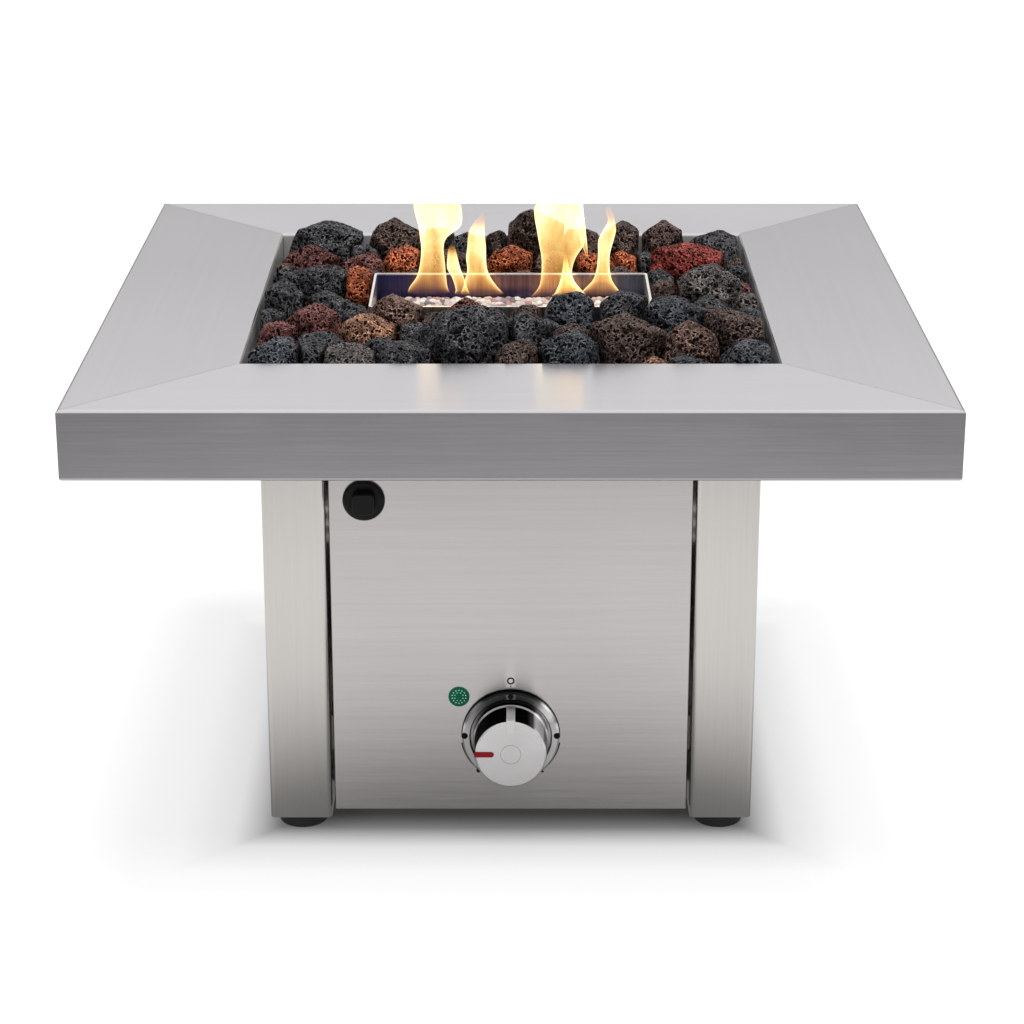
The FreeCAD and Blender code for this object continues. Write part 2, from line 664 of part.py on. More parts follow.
def grate_mat():
    """The welded mat that carries the lava rocks: four bars on edge and rods, open round the tray."""
    reach = GRATE_REACH
    near = TRAY_X + 8.5
    half = GRATE_BAR_WIDTH / 2
    pieces = []
    for s in (-1, 1):
        for x in (near, reach):
            pieces.append(box(s * x - half, s * x + half, -reach, reach, BOWL_FLOOR, BAR_TOP))
    z = GRATE_TOP - GRATE_ROD / 2
    count = int(reach // GRATE_PITCH)
    for i in range(-count, count + 1):
        y = GRATE_PITCH * i
        if abs(y) > TRAY_Y + GRATE_ROD:
            pieces.append(rod(GRATE_ROD, (-reach, y, z), (reach, y, z)))
        else:
            for s in (-1, 1):
                pieces.append(rod(GRATE_ROD, (s * (near - 4), y, z), (s * reach, y, z)))
    return fused(pieces)


# ---- lava rocks ---------------------------------------------------------------------------------

ROCK_GAP = 0.35             # between neighbouring rocks
ROCK_TRAY_GAP = 0.6
LAYOUT_TRAY_X = 116.5       # the tray and bowl that the places below were chosen for
LAYOUT_TRAY_Y = 55.0
LAYOUT_BOWL = 205.0

# x, y, half width, half depth and top above the grate of each rock
ROCKS = [
    # rear row, left to right
    (-164, 178, 34, 27, 56), (-102, 180, 26, 26, 58), (-66, 184, 18, 22, 50), (-38, 174, 19, 24, 48),
    (-12, 182, 15, 22, 48), (22, 174, 25, 30, 69), (62, 178, 20, 26, 50), (100, 180, 19, 24, 55),
    (136, 180, 20, 26, 57), (182, 166, 27, 36, 49),
    # second row
    (-176, 130, 28, 24, 46), (-147, 150, 13, 14, 41), (-131, 152, 16, 18, 42), (-130, 112, 21, 24, 43),
    (-96, 128, 19, 26, 47), (-58, 126, 24, 28, 46), (-1, 116, 23, 30, 50), (38, 114, 21, 28, 45),
    (72, 116, 19, 28, 44), (99, 128, 15, 20, 43), (119, 128, 11, 18, 42), (153, 112, 35, 30, 51),
    (-28, 132, 12, 20, 38),
    # round the tray's rear
    (-170, 88, 28, 24, 38), (-124, 76, 24, 22, 38), (-84, 78, 22, 22, 37), (-40, 78, 24, 22, 36),
    (8, 76, 26, 20, 36), (52, 78, 24, 22, 37), (94, 84, 22, 24, 38), (128, 72, 16, 18, 40),
    # left side
    (-158, 40, 27, 27, 51), (-193, 62, 13, 20, 42), (-131, 36, 15, 26, 51), (-190, -14, 17, 34, 51),
    (-156, -6, 22, 24, 40), (-136, -38, 20, 20, 42), (-194, 20, 12, 18, 38),
    # right side
    (167, 20, 28, 30, 57), (133, 22, 17, 22, 43), (196, 70, 14, 22, 45), (196, 34, 12, 18, 40),
    (197, -22, 14, 26, 44), (134, -30, 18, 26, 44), (164, -34, 22, 24, 42), (164, 68, 24, 20, 44),
    # in front of the tray
    (-161, -76, 23, 28, 49), (-95, -78, 24, 24, 58), (-38, -72, 20, 18, 54), (15, -72, 15, 18, 50),
    (49, -78, 24, 26, 60), (91, -80, 24, 26, 62), (132, -90, 27, 30, 59), (181, -110, 27, 34, 53),
    (-187, -112, 16, 24, 44), (-114, -114, 28, 24, 49), (-78, -116, 16, 22, 45), (-8, -82, 14, 18, 44),
    (8, -118, 20, 28, 54), (29, -108, 11, 20, 45), (-64, -82, 15, 20, 44), (-196, -66, 12, 20, 42),
    # front row
    (-36, -142, 33, 38, 64), (87, -152, 34, 34, 60), (140, -156, 24, 28, 56), (-184, -178, 25, 30, 48),
    (-157, -172, 16, 30, 46), (-126, -176, 26, 28, 43), (-82, -174, 21, 32, 47), (5, -178, 18, 28, 48),
    (46, -176, 23, 30, 54), (110, -192, 15, 18, 39), (136, -190, 20, 18, 40), (185, -178, 23, 30, 46),
    (-150, -132, 24, 22, 42), (50, -128, 18, 22, 48), (-128, -66, 17, 17, 42), (196, -66, 15, 24, 44),
    (162, -66, 20, 20, 44), (-196, 98, 14, 18, 40), (196, 104, 12, 20, 42), (-100, -148, 20, 20, 42),
    (-60, -202, 14, 12, 36), (112, -124, 16, 16, 44), (-20, -200, 14, 14, 36), (150, -124, 16, 18, 44),
]
ROCK_FACES = 15
ROCK_FULLNESS = 1.1         # rocks are this much larger than listed, where their neighbours leave room


def stretched(value, near_was, near_is, far_was, far_is):
    """Moves a layout place as the tray and the bowl change size."""
    size = abs(value)
    if size <= near_was:
        size = size * near_is / near_was
    else:
        size = near_is + (size - near_was) * (far_is - near_is) / (far_was - near_was)
    return math.copysign(size, value)


def clipped(faces, normal, distance):
    """A convex solid, as lists of corners, cut by the plane normal . p <= distance."""
    kept, rim = [], []
    for face in faces:
        ring = []
        for i, a in enumerate(face):
            b = face[(i + 1) % len(face)]
            da, db = normal.dot(a) - distance, normal.dot(b) - distance
            if da <= 0:
                ring.append(a)
            if (da < 0 < db) or (db < 0 < da):
                crossing = a + (b - a) * (da / (da - db))
                ring.append(crossing)
                rim.append(crossing)
        if len(ring) > 2:
            kept.append(ring)
    corners_found = []
    for p in rim:
        if all((p - q).Length > 1e-6 for q in corners_found):
            corners_found.append(p)
    if len(corners_found) > 2:
        middle = vec(0, 0, 0)
        for p in corners_found:
            middle += p / len(corners_found)
        u = (corners_found[0] - middle).normalize()
        w = normal.cross(u)
        corners_found.sort(key=lambda p: math.atan2((p - middle).dot(w), (p - middle).dot(u)))
        kept.append(corners_found)
    return kept


def box_faces(x0, x1, y0, y1, z0, z1):
    c = [vec(x, y, z) for z in (z0, z1) for y in (y0, y1) for x in (x0, x1)]
    return [[c[i] for i in ring] for ring in
            ((0, 2, 3, 1), (4, 5, 7, 6), (0, 1, 5, 4), (2, 6, 7, 3), (0, 4, 6, 2), (1, 3, 7, 5))]


def solid_from(faces):
    """A solid from the corner rings of a convex shape."""
    shape = Part.makeShell([Part.Face(Part.makePolygon(ring + ring[:1])) for ring in faces])
    shape.sewShape(1e-4)
    solid = Part.Solid(shape if shape.ShapeType == "Shell" else shape.Shells[0])
    return solid


def rock_places():
    """Each rock's middle, half sizes and top, placed for the present tray and bowl."""
    places = []
    for x, y, wide, deep, top in ROCKS:
        px = stretched(x, LAYOUT_TRAY_X, TRAY_X, LAYOUT_BOWL, BOWL_INNER)
        py = stretched(y, LAYOUT_TRAY_Y, TRAY_Y, LAYOUT_BOWL, BOWL_INNER)
        middle = vec(px, py, ROCK_FLOOR + top / 2)
        places.append((middle, wide * ROCK_FULLNESS, deep * ROCK_FULLNESS, top / 2))
    return places


def lava_rock(index, places):
    """A broken lump inside its ellipsoid, kept clear of its neighbours, the walls, the grate and the tray."""
    middle, wide, deep, tall = places[index]
    chance = random.Random(100 + index)
    faces = box_faces(middle.x - wide, middle.x + wide, middle.y - deep, middle.y + deep,
                      ROCK_FLOOR, ROCK_FLOOR + 2 * tall)
    for i in range(ROCK_FACES):
        height = 1 - 2 * (i + 0.5) / ROCK_FACES
        turn = 2.4 * i + chance.uniform(-0.4, 0.4)
        flat = math.sqrt(1 - height * height)
        normal = vec(flat * math.cos(turn), flat * math.sin(turn), height)
        reach = math.sqrt((wide * normal.x) ** 2 + (deep * normal.y) ** 2 + (tall * normal.z) ** 2)
        faces = clipped(faces, normal, normal.dot(middle) + reach * chance.uniform(0.88, 1.04))
    size = (wide + deep) / 2
    for other, (there, wide2, deep2, tall2) in enumerate(places):
        apart = there - middle
        if other == index or apart.Length > 110:
            continue
        distance = apart.Length
        normal = apart / distance
        size2 = (wide2 + deep2) / 2
        share = 0.5 + (size * size - size2 * size2) / (2 * distance * distance)
        share = min(max(share, 0.25), 0.75)
        faces = clipped(faces, normal, normal.dot(middle) + distance * share - ROCK_GAP / 2)
    wall = BOWL_INNER - 0.5
    for normal in (vec(1, 0, 0), vec(-1, 0, 0), vec(0, 1, 0), vec(0, -1, 0)):
        faces = clipped(faces, normal, wall)
    if abs(middle.y) > TRAY_Y:
        side = math.copysign(1, middle.y)
        faces = clipped(faces, vec(0, -side, 0), -(TRAY_Y + ROCK_TRAY_GAP))
    else:
        side = math.copysign(1, middle.x)
        faces = clipped(faces, vec(-side, 0, 0), -(TRAY_X + ROCK_TRAY_GAP))
    return solid_from(faces)


def lava_rocks():
    """The rocks by the side of the tray that they lie on."""
    sides = {"front": [], "rear": [], "left": [], "right": []}
    places = rock_places()
    for index, place in enumerate(places):
        middle = place[0]
        if abs(middle.y) > TRAY_Y:
            side = "front" if middle.y < 0 else "rear"
        else:
            side = "left" if middle.x < 0 else "right"
        sides[side].append(lava_rock(index, places))
    return sides


# ---- gas control --------------------------------------------------------------------------------

def knob_bezel():
    r = BEZEL_DIAMETER / 2
    inner = BEZEL_OPENING / 2
    ring = revolved_y([
        (12.2, FRONT), (r, FRONT), (r, BEZEL_FACE + 1.5), (r - 1.5, BEZEL_FACE), (inner + 1, BEZEL_FACE),
        (inner, BEZEL_FACE + 1), (inner, FRONT - 1.5), (12.2, FRONT - 1.5),
    ], 0, KNOB_HEIGHT)
    pegs = [along_y(d + 2 * 0.1, x, z, FRONT + 1, BEZEL_FACE - 5) for x, z, d in bezel_dot_places()]
    return ring.cut(pegs)


def bezel_dot_places():
    """x, z and diameter of the round dots let into the bezel, the side ones through its edge."""
    r = BEZEL_DIAMETER / 2
    side = r - SIDE_DOT_INSET
    side_height = KNOB_HEIGHT + SIDE_DOT_RISE
    top = (r + BEZEL_OPENING / 2) / 2
    return [(-side, side_height, 5.0), (side, side_height, 5.0), (0, KNOB_HEIGHT + top, 4.5)]


def bezel_dots():
    return [along_y(d, x, z, FRONT, BEZEL_FACE - 0.4) for x, z, d in bezel_dot_places()]


def knob_back():
    return BEZEL_FACE


def control_knob():
    """A hollow knob with a skirt, a tapered barrel and a hub for the stem."""
    r, skirt = KNOB_DIAMETER / 2, KNOB_SKIRT_DIAMETER / 2
    back = knob_back()
    shell = revolved_y([
        (0, KNOB_FACE), (r - 1.6, KNOB_FACE), (r - 0.4, KNOB_FACE + 0.5), (r, KNOB_FACE + 1.8),
        (r + 0.4, back - 5), (skirt, back - 4),
        (skirt, back), (skirt - KNOB_WALL, back), (skirt - KNOB_WALL - 2, back - 8),
        (r - KNOB_WALL, KNOB_FACE + KNOB_FACE_WALL), (8, KNOB_FACE + KNOB_FACE_WALL),
        (8, back - 3), (0, back - 3),
    ], 0, KNOB_HEIGHT)
    stem_hole = along_y(STEM_DIAMETER + 2 * 0.15, 0, KNOB_HEIGHT, KNOB_FACE + KNOB_FACE_WALL + 4, back)
    return shell.cut([stem_hole, pointer_block(0.1), red_mark_block(0.1)])


def pointer_block(room):
    """The pointer's insert: along the top of the barrel and a third of the way down the face."""
    half = POINTER_WIDTH / 2 + room
    top = KNOB_HEIGHT + KNOB_DIAMETER / 2
    back = knob_back() - 4.5
    run = box(-half, half, KNOB_FACE - 0.4 - room, back + room, top - 2.5 - room, top + 0.9 + room)
    face = box(-half, half, KNOB_FACE - 0.4 - room, KNOB_FACE + 2 + room, top - 10.5 - room, top + 0.9 + room)
    return fused([run, face])


def red_mark_block(room):
    """The red mark at nine o'clock on the face, wrapped on to the barrel."""
    left = -KNOB_DIAMETER / 2
    half = 2.3 + room
    run = box(left - 0.3 - room, left + 13, KNOB_FACE - 0.3 - room, KNOB_FACE + 2 + room,
              KNOB_HEIGHT - half, KNOB_HEIGHT + half)
    nose = along_y(2 * half, left + 13, KNOB_HEIGHT, KNOB_FACE - 0.3 - room, KNOB_FACE + 2 + room)
    return fused([run, nose])


def gas_valve():
    """The valve body with its stem bore, plunger chamber and gas ways."""
    z = KNOB_HEIGHT
    y0, y1 = FRONT + PANEL_SHEET + 2, FRONT + PANEL_SHEET + 2 + 40.5
    block = box(-22, 22, y0, y1, z - 25, z + 25)
    edges = [e for e in block.Edges if abs(e.tangentAt(e.FirstParameter).y) > 0.9]
    block = block.makeFillet(5, edges)
    boss = along_y(20, 0, z, FRONT - 3.5, y0 + 1)
    outlet = along_y(14, 0, z + 18, y1 - 1, y1 + 4)
    inlet = along_y(14, 0, z - 18, y1 - 1, y1 + 4)
    tool = [
        along_y(STEM_DIAMETER + 2 * CLEAR, 0, z, FRONT - 5, y0 + 6),
        along_y(CAVITY_DIAMETER, 0, z, y0 + 4.5, y1 - 4),
    ]
    return fused([block, boss, outlet, inlet]).cut([fused(tool)])


def valve_rear():
    return FRONT + PANEL_SHEET + 2 + 40.5 + 4


def chamber_front():
    return FRONT + PANEL_SHEET + 2 + 4.5


def valve_stem():
    z, y = KNOB_HEIGHT, chamber_front()
    shaft = along_y(STEM_DIAMETER, 0, z, KNOB_FACE + KNOB_FACE_WALL + 4.3, y + 14)
    collar = along_y(CAVITY_DIAMETER - 2, 0, z, y + CLEAR, y + CLEAR + 3)
    return fused([shaft, collar])


def valve_plunger():
    z, y = KNOB_HEIGHT, chamber_front() + 14 + CLEAR
    end = chamber_rear() - KNOB_TRAVEL - 0.5
    return fused([along_y(12, 0, z, y, y + 3), along_y(4, 0, z, y + 2, end)])


def chamber_rear():
    return FRONT + PANEL_SHEET + 2 + 40.5 - 4


def valve_spring():
    """The plunger's return spring, as a plain sleeve of its pressed length."""
    z = KNOB_HEIGHT
    y = chamber_front() + 14 + CLEAR + 3 + KNOB_TRAVEL + CLEAR
    return along_y(10, 0, z, y, chamber_rear()).cut(along_y(7, 0, z, y - 1, chamber_rear() + 1))


def bracket_screws():
    return (-31.0, 31.0)


def valve_bracket():
    """The plate behind the front panel that the valve is screwed to, and its two screws."""
    z = KNOB_HEIGHT
    y0, y1 = FRONT + PANEL_SHEET, FRONT + PANEL_SHEET + 2
    plate = box(-40, 40, y0, y1, z - 30, z + 30)
    holes = [along_y(21, 0, z, y0 - 1, y1 + 1)]
    holes += [along_y(M4 + 2 * CLEAR, x, z, y0 - 1, y1 + 1) for x in bracket_screws()]
    screws = []
    for x in bracket_screws():
        nut = along_y(7.5, x, z, y1, y1 + 3)
        screws.append(fused([nut, along_y(M4, x, z, FRONT + 0.2, y1 + 2)]))
    return [plate.cut(holes)] + screws


def outlet_pipe():
    z = KNOB_HEIGHT + 18
    return bent_tube(PIPE_DIAMETER, [(0, valve_rear(), z), (0, 0, z), (0, 0, injector_seat() - 24)])


def inlet_pipe():
    z = INLET_HEIGHT
    start = valve_rear()
    inner = PANEL_BACK - 22
    route = [(0, start, z), (0, start + 60, z), (INLET_X, start + 130, z), (INLET_X, inner, z)]
    return bent_tube(PIPE_DIAMETER, route)


def inlet_fitting():
    """Bulkhead fitting: threaded spigot outside, hexagon against the panel, and a lock nut inside."""
    x, z = INLET_X, INLET_HEIGHT
    spigot = rod(INLET_THREAD, (x, PANEL_BACK - 14, z), (x, PANEL_FACE + 1, z))
    outer = rod(INLET_THREAD, (x, PANEL_FACE, z), (x, BODY_HALF + 22, z))
    tail = rod(11, (x, PANEL_BACK - 22, z), (x, PANEL_BACK - 13, z))
    flange = hexagon(19, 0, 0, 0, 6)
    flange.rotate(vec(0, 0, 0), vec(1, 0, 0), -90)
    flange.translate(vec(x, PANEL_FACE, z))
    bore = rod(7, (x, BODY_HALF + 8, z), (x, BODY_HALF + 30, z))
    nut = hexagon(19, 0, 0, 0, 5)
    nut.rotate(vec(0, 0, 0), vec(1, 0, 0), -90)
    nut.translate(vec(x, PANEL_BACK - 5, z))
    nut = nut.cut(rod(INLET_THREAD + 2 * CLEAR, (x, PANEL_BACK - 8, z), (x, PANEL_BACK + 2, z)))
    return [fused([spigot, outer, tail, flange]).cut(bore), nut]


# ---- igniter and flame sensing ------------------------------------------------------------------

def square_along_y(size, corner, y0, y1):
    """A rounded square prism along Y on the igniter's axis."""
    half = size / 2
    prism = box(IGNITER_X - half, IGNITER_X + half, y0, y1, IGNITER_HEIGHT - half, IGNITER_HEIGHT + half)
    edges = [e for e in prism.Edges if abs(e.tangentAt(e.FirstParameter).y) > 0.9]
    return prism.makeFillet(corner, edges)


def igniter_housing():
    x, z = IGNITER_X, IGNITER_HEIGHT
    r = IGNITER_FLANGE / 2
    face = FRONT - 3.5
    flange = revolved_y([(0, FRONT), (r, FRONT), (r, face + 2), (r - 2, face), (0, face)], x, z)
    barrel = along_y(IGNITER_BARREL, x, z, FRONT - 1, FRONT + 39)
    terminal = along_y(5, x, z, FRONT + 38, FRONT + 44)
    well = square_along_y(BUTTON_SIZE + 2 * CLEAR, BUTTON_CORNER + CLEAR, FRONT - 5, FRONT + 16)
    bore = along_y(12 + 2 * CLEAR, x, z, FRONT + 15, FRONT + 36)
    return fused([flange, barrel, terminal]).cut([fused([well, bore])])


def igniter_button():
    x, z = IGNITER_X, IGNITER_HEIGHT
    back = FRONT + 16 - BUTTON_TRAVEL - CLEAR
    head = square_along_y(BUTTON_SIZE, BUTTON_CORNER, FRONT - BUTTON_PROUD, back)
    front = [e for e in head.Edges if abs(e.BoundBox.YMax - (FRONT - BUTTON_PROUD)) < 0.01]
    head = head.makeFillet(1.2, front)
    return fused([head, along_y(12, x, z, FRONT + 10, FRONT + 28)])


def igniter_spring():
    """The button's return spring, as a plain sleeve of its pressed length."""
    x, z = IGNITER_X, IGNITER_HEIGHT
    y = FRONT + 28 + BUTTON_TRAVEL + CLEAR
    return along_y(11, x, z, y, FRONT + 36).cut(along_y(8, x, z, y - 1, FRONT + 37))


def igniter_nut():
    x, z = IGNITER_X, IGNITER_HEIGHT
    y0, y1 = FRONT + PANEL_SHEET, FRONT + PANEL_SHEET + 6
    return along_y(34, x, z, y0, y1).cut(along_y(IGNITER_BARREL + 2 * CLEAR, x, z, y0 - 1, y1 + 1))


def electrode():
    """The spark electrode: ceramic sleeve and rod, which stand through the tray's floor."""
    sleeve = upright(7, LEAD_X, ELECTRODE_Y, DECK_BOTTOM - 14, TRAY_FLOOR + 6)
    return fused([sleeve, upright(2, LEAD_X, ELECTRODE_Y, TRAY_FLOOR + 5, SCREEN_BOTTOM - 3)])


def ignition_lead():
    x, z = IGNITER_X, IGNITER_HEIGHT
    start = FRONT + 44
    end = DECK_BOTTOM - 14
    side = min(x + 2, LEAD_X - 9)
    return bent_tube(4, [
        (x, start, z), (x, start + 45, z), (x + 1, start + 100, z + 4), (side, ELECTRODE_Y - 14, z + 10),
        (LEAD_X, ELECTRODE_Y, z + 24), (LEAD_X, ELECTRODE_Y, end),
    ])


def thermocouple():
    """The sensing tip with its capillary down to the side of the valve."""
    tip = upright(5, LEAD_X, THERMOCOUPLE_Y, DECK_BOTTOM - 10, SCREEN_BOTTOM - 3)
    y = FRONT + 24
    line = bent_tube(2, [
        (-22, y, KNOB_HEIGHT), (-52, y, KNOB_HEIGHT), (-80, y + 30, KNOB_HEIGHT + 12),
        (LEAD_X, y + 80, KNOB_HEIGHT + 60), (LEAD_X, THERMOCOUPLE_Y, KNOB_HEIGHT + 150),
        (LEAD_X, THERMOCOUPLE_Y, DECK_BOTTOM - 10),
    ])
    return [tip, line]


def round_badge():
    return along_y(BADGE_DIAMETER, BADGE_X, BADGE_HEIGHT, FRONT - 0.5, FRONT)


# ---- the assembly -------------------------------------------------------------------------------

def assembly():
    """Every node with its solids."""
    parts = {}
    for name, turns in (("front", 0), ("right", 1), ("rear", 2), ("left", 3)):
        parts["top_rail_" + name] = [top_rail(turns)]
    parts["corner_gussets"] = corner_gussets()
    parts["top_bearers"] = top_bearers()
    parts["bearer_fixings"] = bearer_fixings()
    parts["deck_plate"] = [deck_plate()]
    parts["deck_bolts"] = deck_bolts()
    for name, sx, sy in corners():
        parts["post_" + name] = [post(sx, sy)]
        pad, stud = levelling_foot(sx, sy)
        parts["foot_pad_" + name] = [pad]
        parts["foot_stud_" + name] = [stud]
    parts["post_plates"] = post_plates() + weld_nuts()
    parts["front_panel"] = [front_panel()]
    parts["rear_panel"] = [rear_panel()]
    parts["right_panel"] = [turned(plain_panel(), 1)]
    parts["left_panel"] = [turned(plain_panel(), 3)]
    parts["panel_cleats"] = panel_fixings()
    parts["base_plate"] = [base_plate()]
    parts["fire_bowl"] = [fire_bowl()]
    parts["burner_tray"] = [burner_tray()]
    parts["tray_fixings"] = tray_fixings()
    parts["media_screen"] = [media_screen()]
    parts["pebble_bed"] = [pebble_bed()]
    parts["burner_tube"] = [burner_tube()] + burner_saddles()
    parts["injector_bracket"] = [injector_bracket()]
    parts["injector"] = injector()
    parts["rock_grate"] = [grate_mat()]
    for side, rocks in lava_rocks().items():
        parts["lava_rocks_" + side] = rocks
    parts["knob_bezel"] = [knob_bezel()]
    parts["bezel_dots"] = bezel_dots()
    parts["control_knob"] = [control_knob()]
    parts["knob_pointer"] = [pointer_block(0)]
    parts["knob_red_mark"] = [red_mark_block(0)]
    parts["valve_stem"] = [valve_stem()]
    parts["valve_plunger"] = [valve_plunger()]
    parts["return_springs"] = [valve_spring(), igniter_spring()]
    parts["gas_valve"] = [gas_valve()]
    parts["valve_bracket"] = valve_bracket()
    parts["outlet_pipe"] = [outlet_pipe()]
    parts["inlet_pipe"] = [inlet_pipe()]
    parts["inlet_fitting"] = inlet_fitting()
    parts["igniter_housing"] = [igniter_housing(), igniter_nut()]
    parts["igniter_button"] = [igniter_button()]
    parts["electrode"] = [electrode()]
    parts["ignition_lead"] = [ignition_lead()]
    parts["thermocouple"] = thermocouple()
    parts["round_badge"] = [round_badge()]
    return parts


os.makedirs("parts", exist_ok=True)
for node, solids in assembly().items():
    shape = solids[0] if len(solids) == 1 else Part.makeCompound(solids)
    shape.exportStep("parts/" + node + ".step")
    note = "" if all(s.isValid() for s in shape.Solids) else ", not valid"
    print(f"{node}: {len(shape.Solids)} of {len(solids)} solids, {shape.Volume / 1000:.1f} cm3{note}")
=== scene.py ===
"""Gas fire pit table: finishes, lava rocks, pebbles, dial marks, flames and a plain studio."""

import math
import random

import bmesh
import bpy
import numpy as np
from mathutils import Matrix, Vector, noise


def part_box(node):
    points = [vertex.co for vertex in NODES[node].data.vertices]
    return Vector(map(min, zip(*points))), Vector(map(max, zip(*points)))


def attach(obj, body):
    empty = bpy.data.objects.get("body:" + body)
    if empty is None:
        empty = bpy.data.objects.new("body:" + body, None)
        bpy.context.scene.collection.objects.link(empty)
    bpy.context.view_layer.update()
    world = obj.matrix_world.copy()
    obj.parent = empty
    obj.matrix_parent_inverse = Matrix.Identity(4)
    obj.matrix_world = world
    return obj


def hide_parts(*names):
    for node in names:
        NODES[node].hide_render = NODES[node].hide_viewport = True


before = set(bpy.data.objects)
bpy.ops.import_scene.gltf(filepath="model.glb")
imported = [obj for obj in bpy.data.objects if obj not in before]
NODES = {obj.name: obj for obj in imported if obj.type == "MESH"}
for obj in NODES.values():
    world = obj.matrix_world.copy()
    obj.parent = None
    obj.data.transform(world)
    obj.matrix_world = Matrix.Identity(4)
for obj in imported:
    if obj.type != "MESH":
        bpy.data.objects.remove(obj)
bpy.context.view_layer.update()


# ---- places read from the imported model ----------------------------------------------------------

TOP_LOW, TOP_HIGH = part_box("top_rail_front")
TOP_Z = TOP_HIGH.z
HALF_TOP = TOP_HIGH.x
BEZEL_LOW, BEZEL_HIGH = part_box("knob_bezel")
KNOB_LOW, KNOB_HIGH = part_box("control_knob")
PANEL_LOW, PANEL_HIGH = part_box("front_panel")
TRAY_LOW, TRAY_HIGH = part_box("burner_tray")
PEBBLE_LOW, PEBBLE_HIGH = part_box("pebble_bed")
BADGE_LOW, BADGE_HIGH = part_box("round_badge")
DIAL = Vector(((BEZEL_LOW.x + BEZEL_HIGH.x) / 2, PANEL_LOW.y, (BEZEL_LOW.z + BEZEL_HIGH.z) / 2))
TRAY_WALL = 0.002


# ---- node helpers -------------------------------------------------------------------------------

class Shader:
    """A material, with short ways to add and join its nodes."""

    def __init__(self, name):
        self.material = bpy.data.materials.new(name)
        self.material.use_nodes = True
        self.tree = self.material.node_tree
        self.tree.nodes.clear()
        self.out = self.tree.nodes.new("ShaderNodeOutputMaterial")

    def add(self, kind, inputs=None, **settings):
        made = self.tree.nodes.new("ShaderNode" + kind)
        for key, value in settings.items():
            setattr(made, key, value)
        for key, value in (inputs or {}).items():
            self.put(made.inputs[key], value)
        return made

    def put(self, socket, value):
        if isinstance(value, bpy.types.NodeSocket):
            self.tree.links.new(value, socket)
        else:
            socket.default_value = value

    def maths(self, operation, a, b=0.0, clamp=False):
        made = self.add("Math", {0: a, 1: b}, operation=operation)
        made.use_clamp = clamp
        return made.outputs[0]

    def vector(self, operation, a, b):
        return self.add("VectorMath", {0: a, 1: b}, operation=operation).outputs[0]

    def ramp(self, value, stops):
        made = self.add("ValToRGB", {0: value})
        band = made.color_ramp
        while len(band.elements) < len(stops):
            band.elements.new(0.5)
        for element, (place, colour) in zip(band.elements, stops):
            element.position = place
            if not hasattr(colour, "__len__"):
                colour = (colour, colour, colour)
            element.color = (*colour, 1)
        return made.outputs[0]

    def mix(self, factor, a, b, blend="MIX"):
        made = self.tree.nodes.new("ShaderNodeMix")
        made.data_type = "RGBA"
        made.blend_type = blend
        self.put(made.inputs[0], factor)
        self.put(made.inputs[6], a)
        self.put(made.inputs[7], b)
        return made.outputs[2]

    def span(self, value, low, high, to_low, to_high):
        made = self.add("MapRange", {0: value, 1: low, 2: high, 3: to_low, 4: to_high})
        return made.outputs[0]

    def place(self):
        return self.add("TexCoord").outputs["Object"]

    def noise(self, vector, scale, detail=2.0, roughness=0.5):
        inputs = {"Vector": vector, "Scale": scale, "Detail": detail, "Roughness": roughness}
        return self.add("TexNoise", inputs).outputs[0]

    def stretched(self, vector, scale):
        return self.add("Mapping", {"Vector": vector, "Scale": scale}).outputs[0]

    def bump(self, height, distance, strength=1.0, normal=None):
        made = self.add("Bump", {"Height": height, "Distance": distance, "Strength": strength})
        if normal is not None:
            self.put(made.inputs["Normal"], normal)
        return made.outputs[0]

    def principled(self, **inputs):
        made = self.add("BsdfPrincipled", inputs)
        self.tree.links.new(made.outputs[0], self.out.inputs[0])
        return made


def grey(v):
    return (v, v, v, 1)


# ---- metals -------------------------------------------------------------------------------------

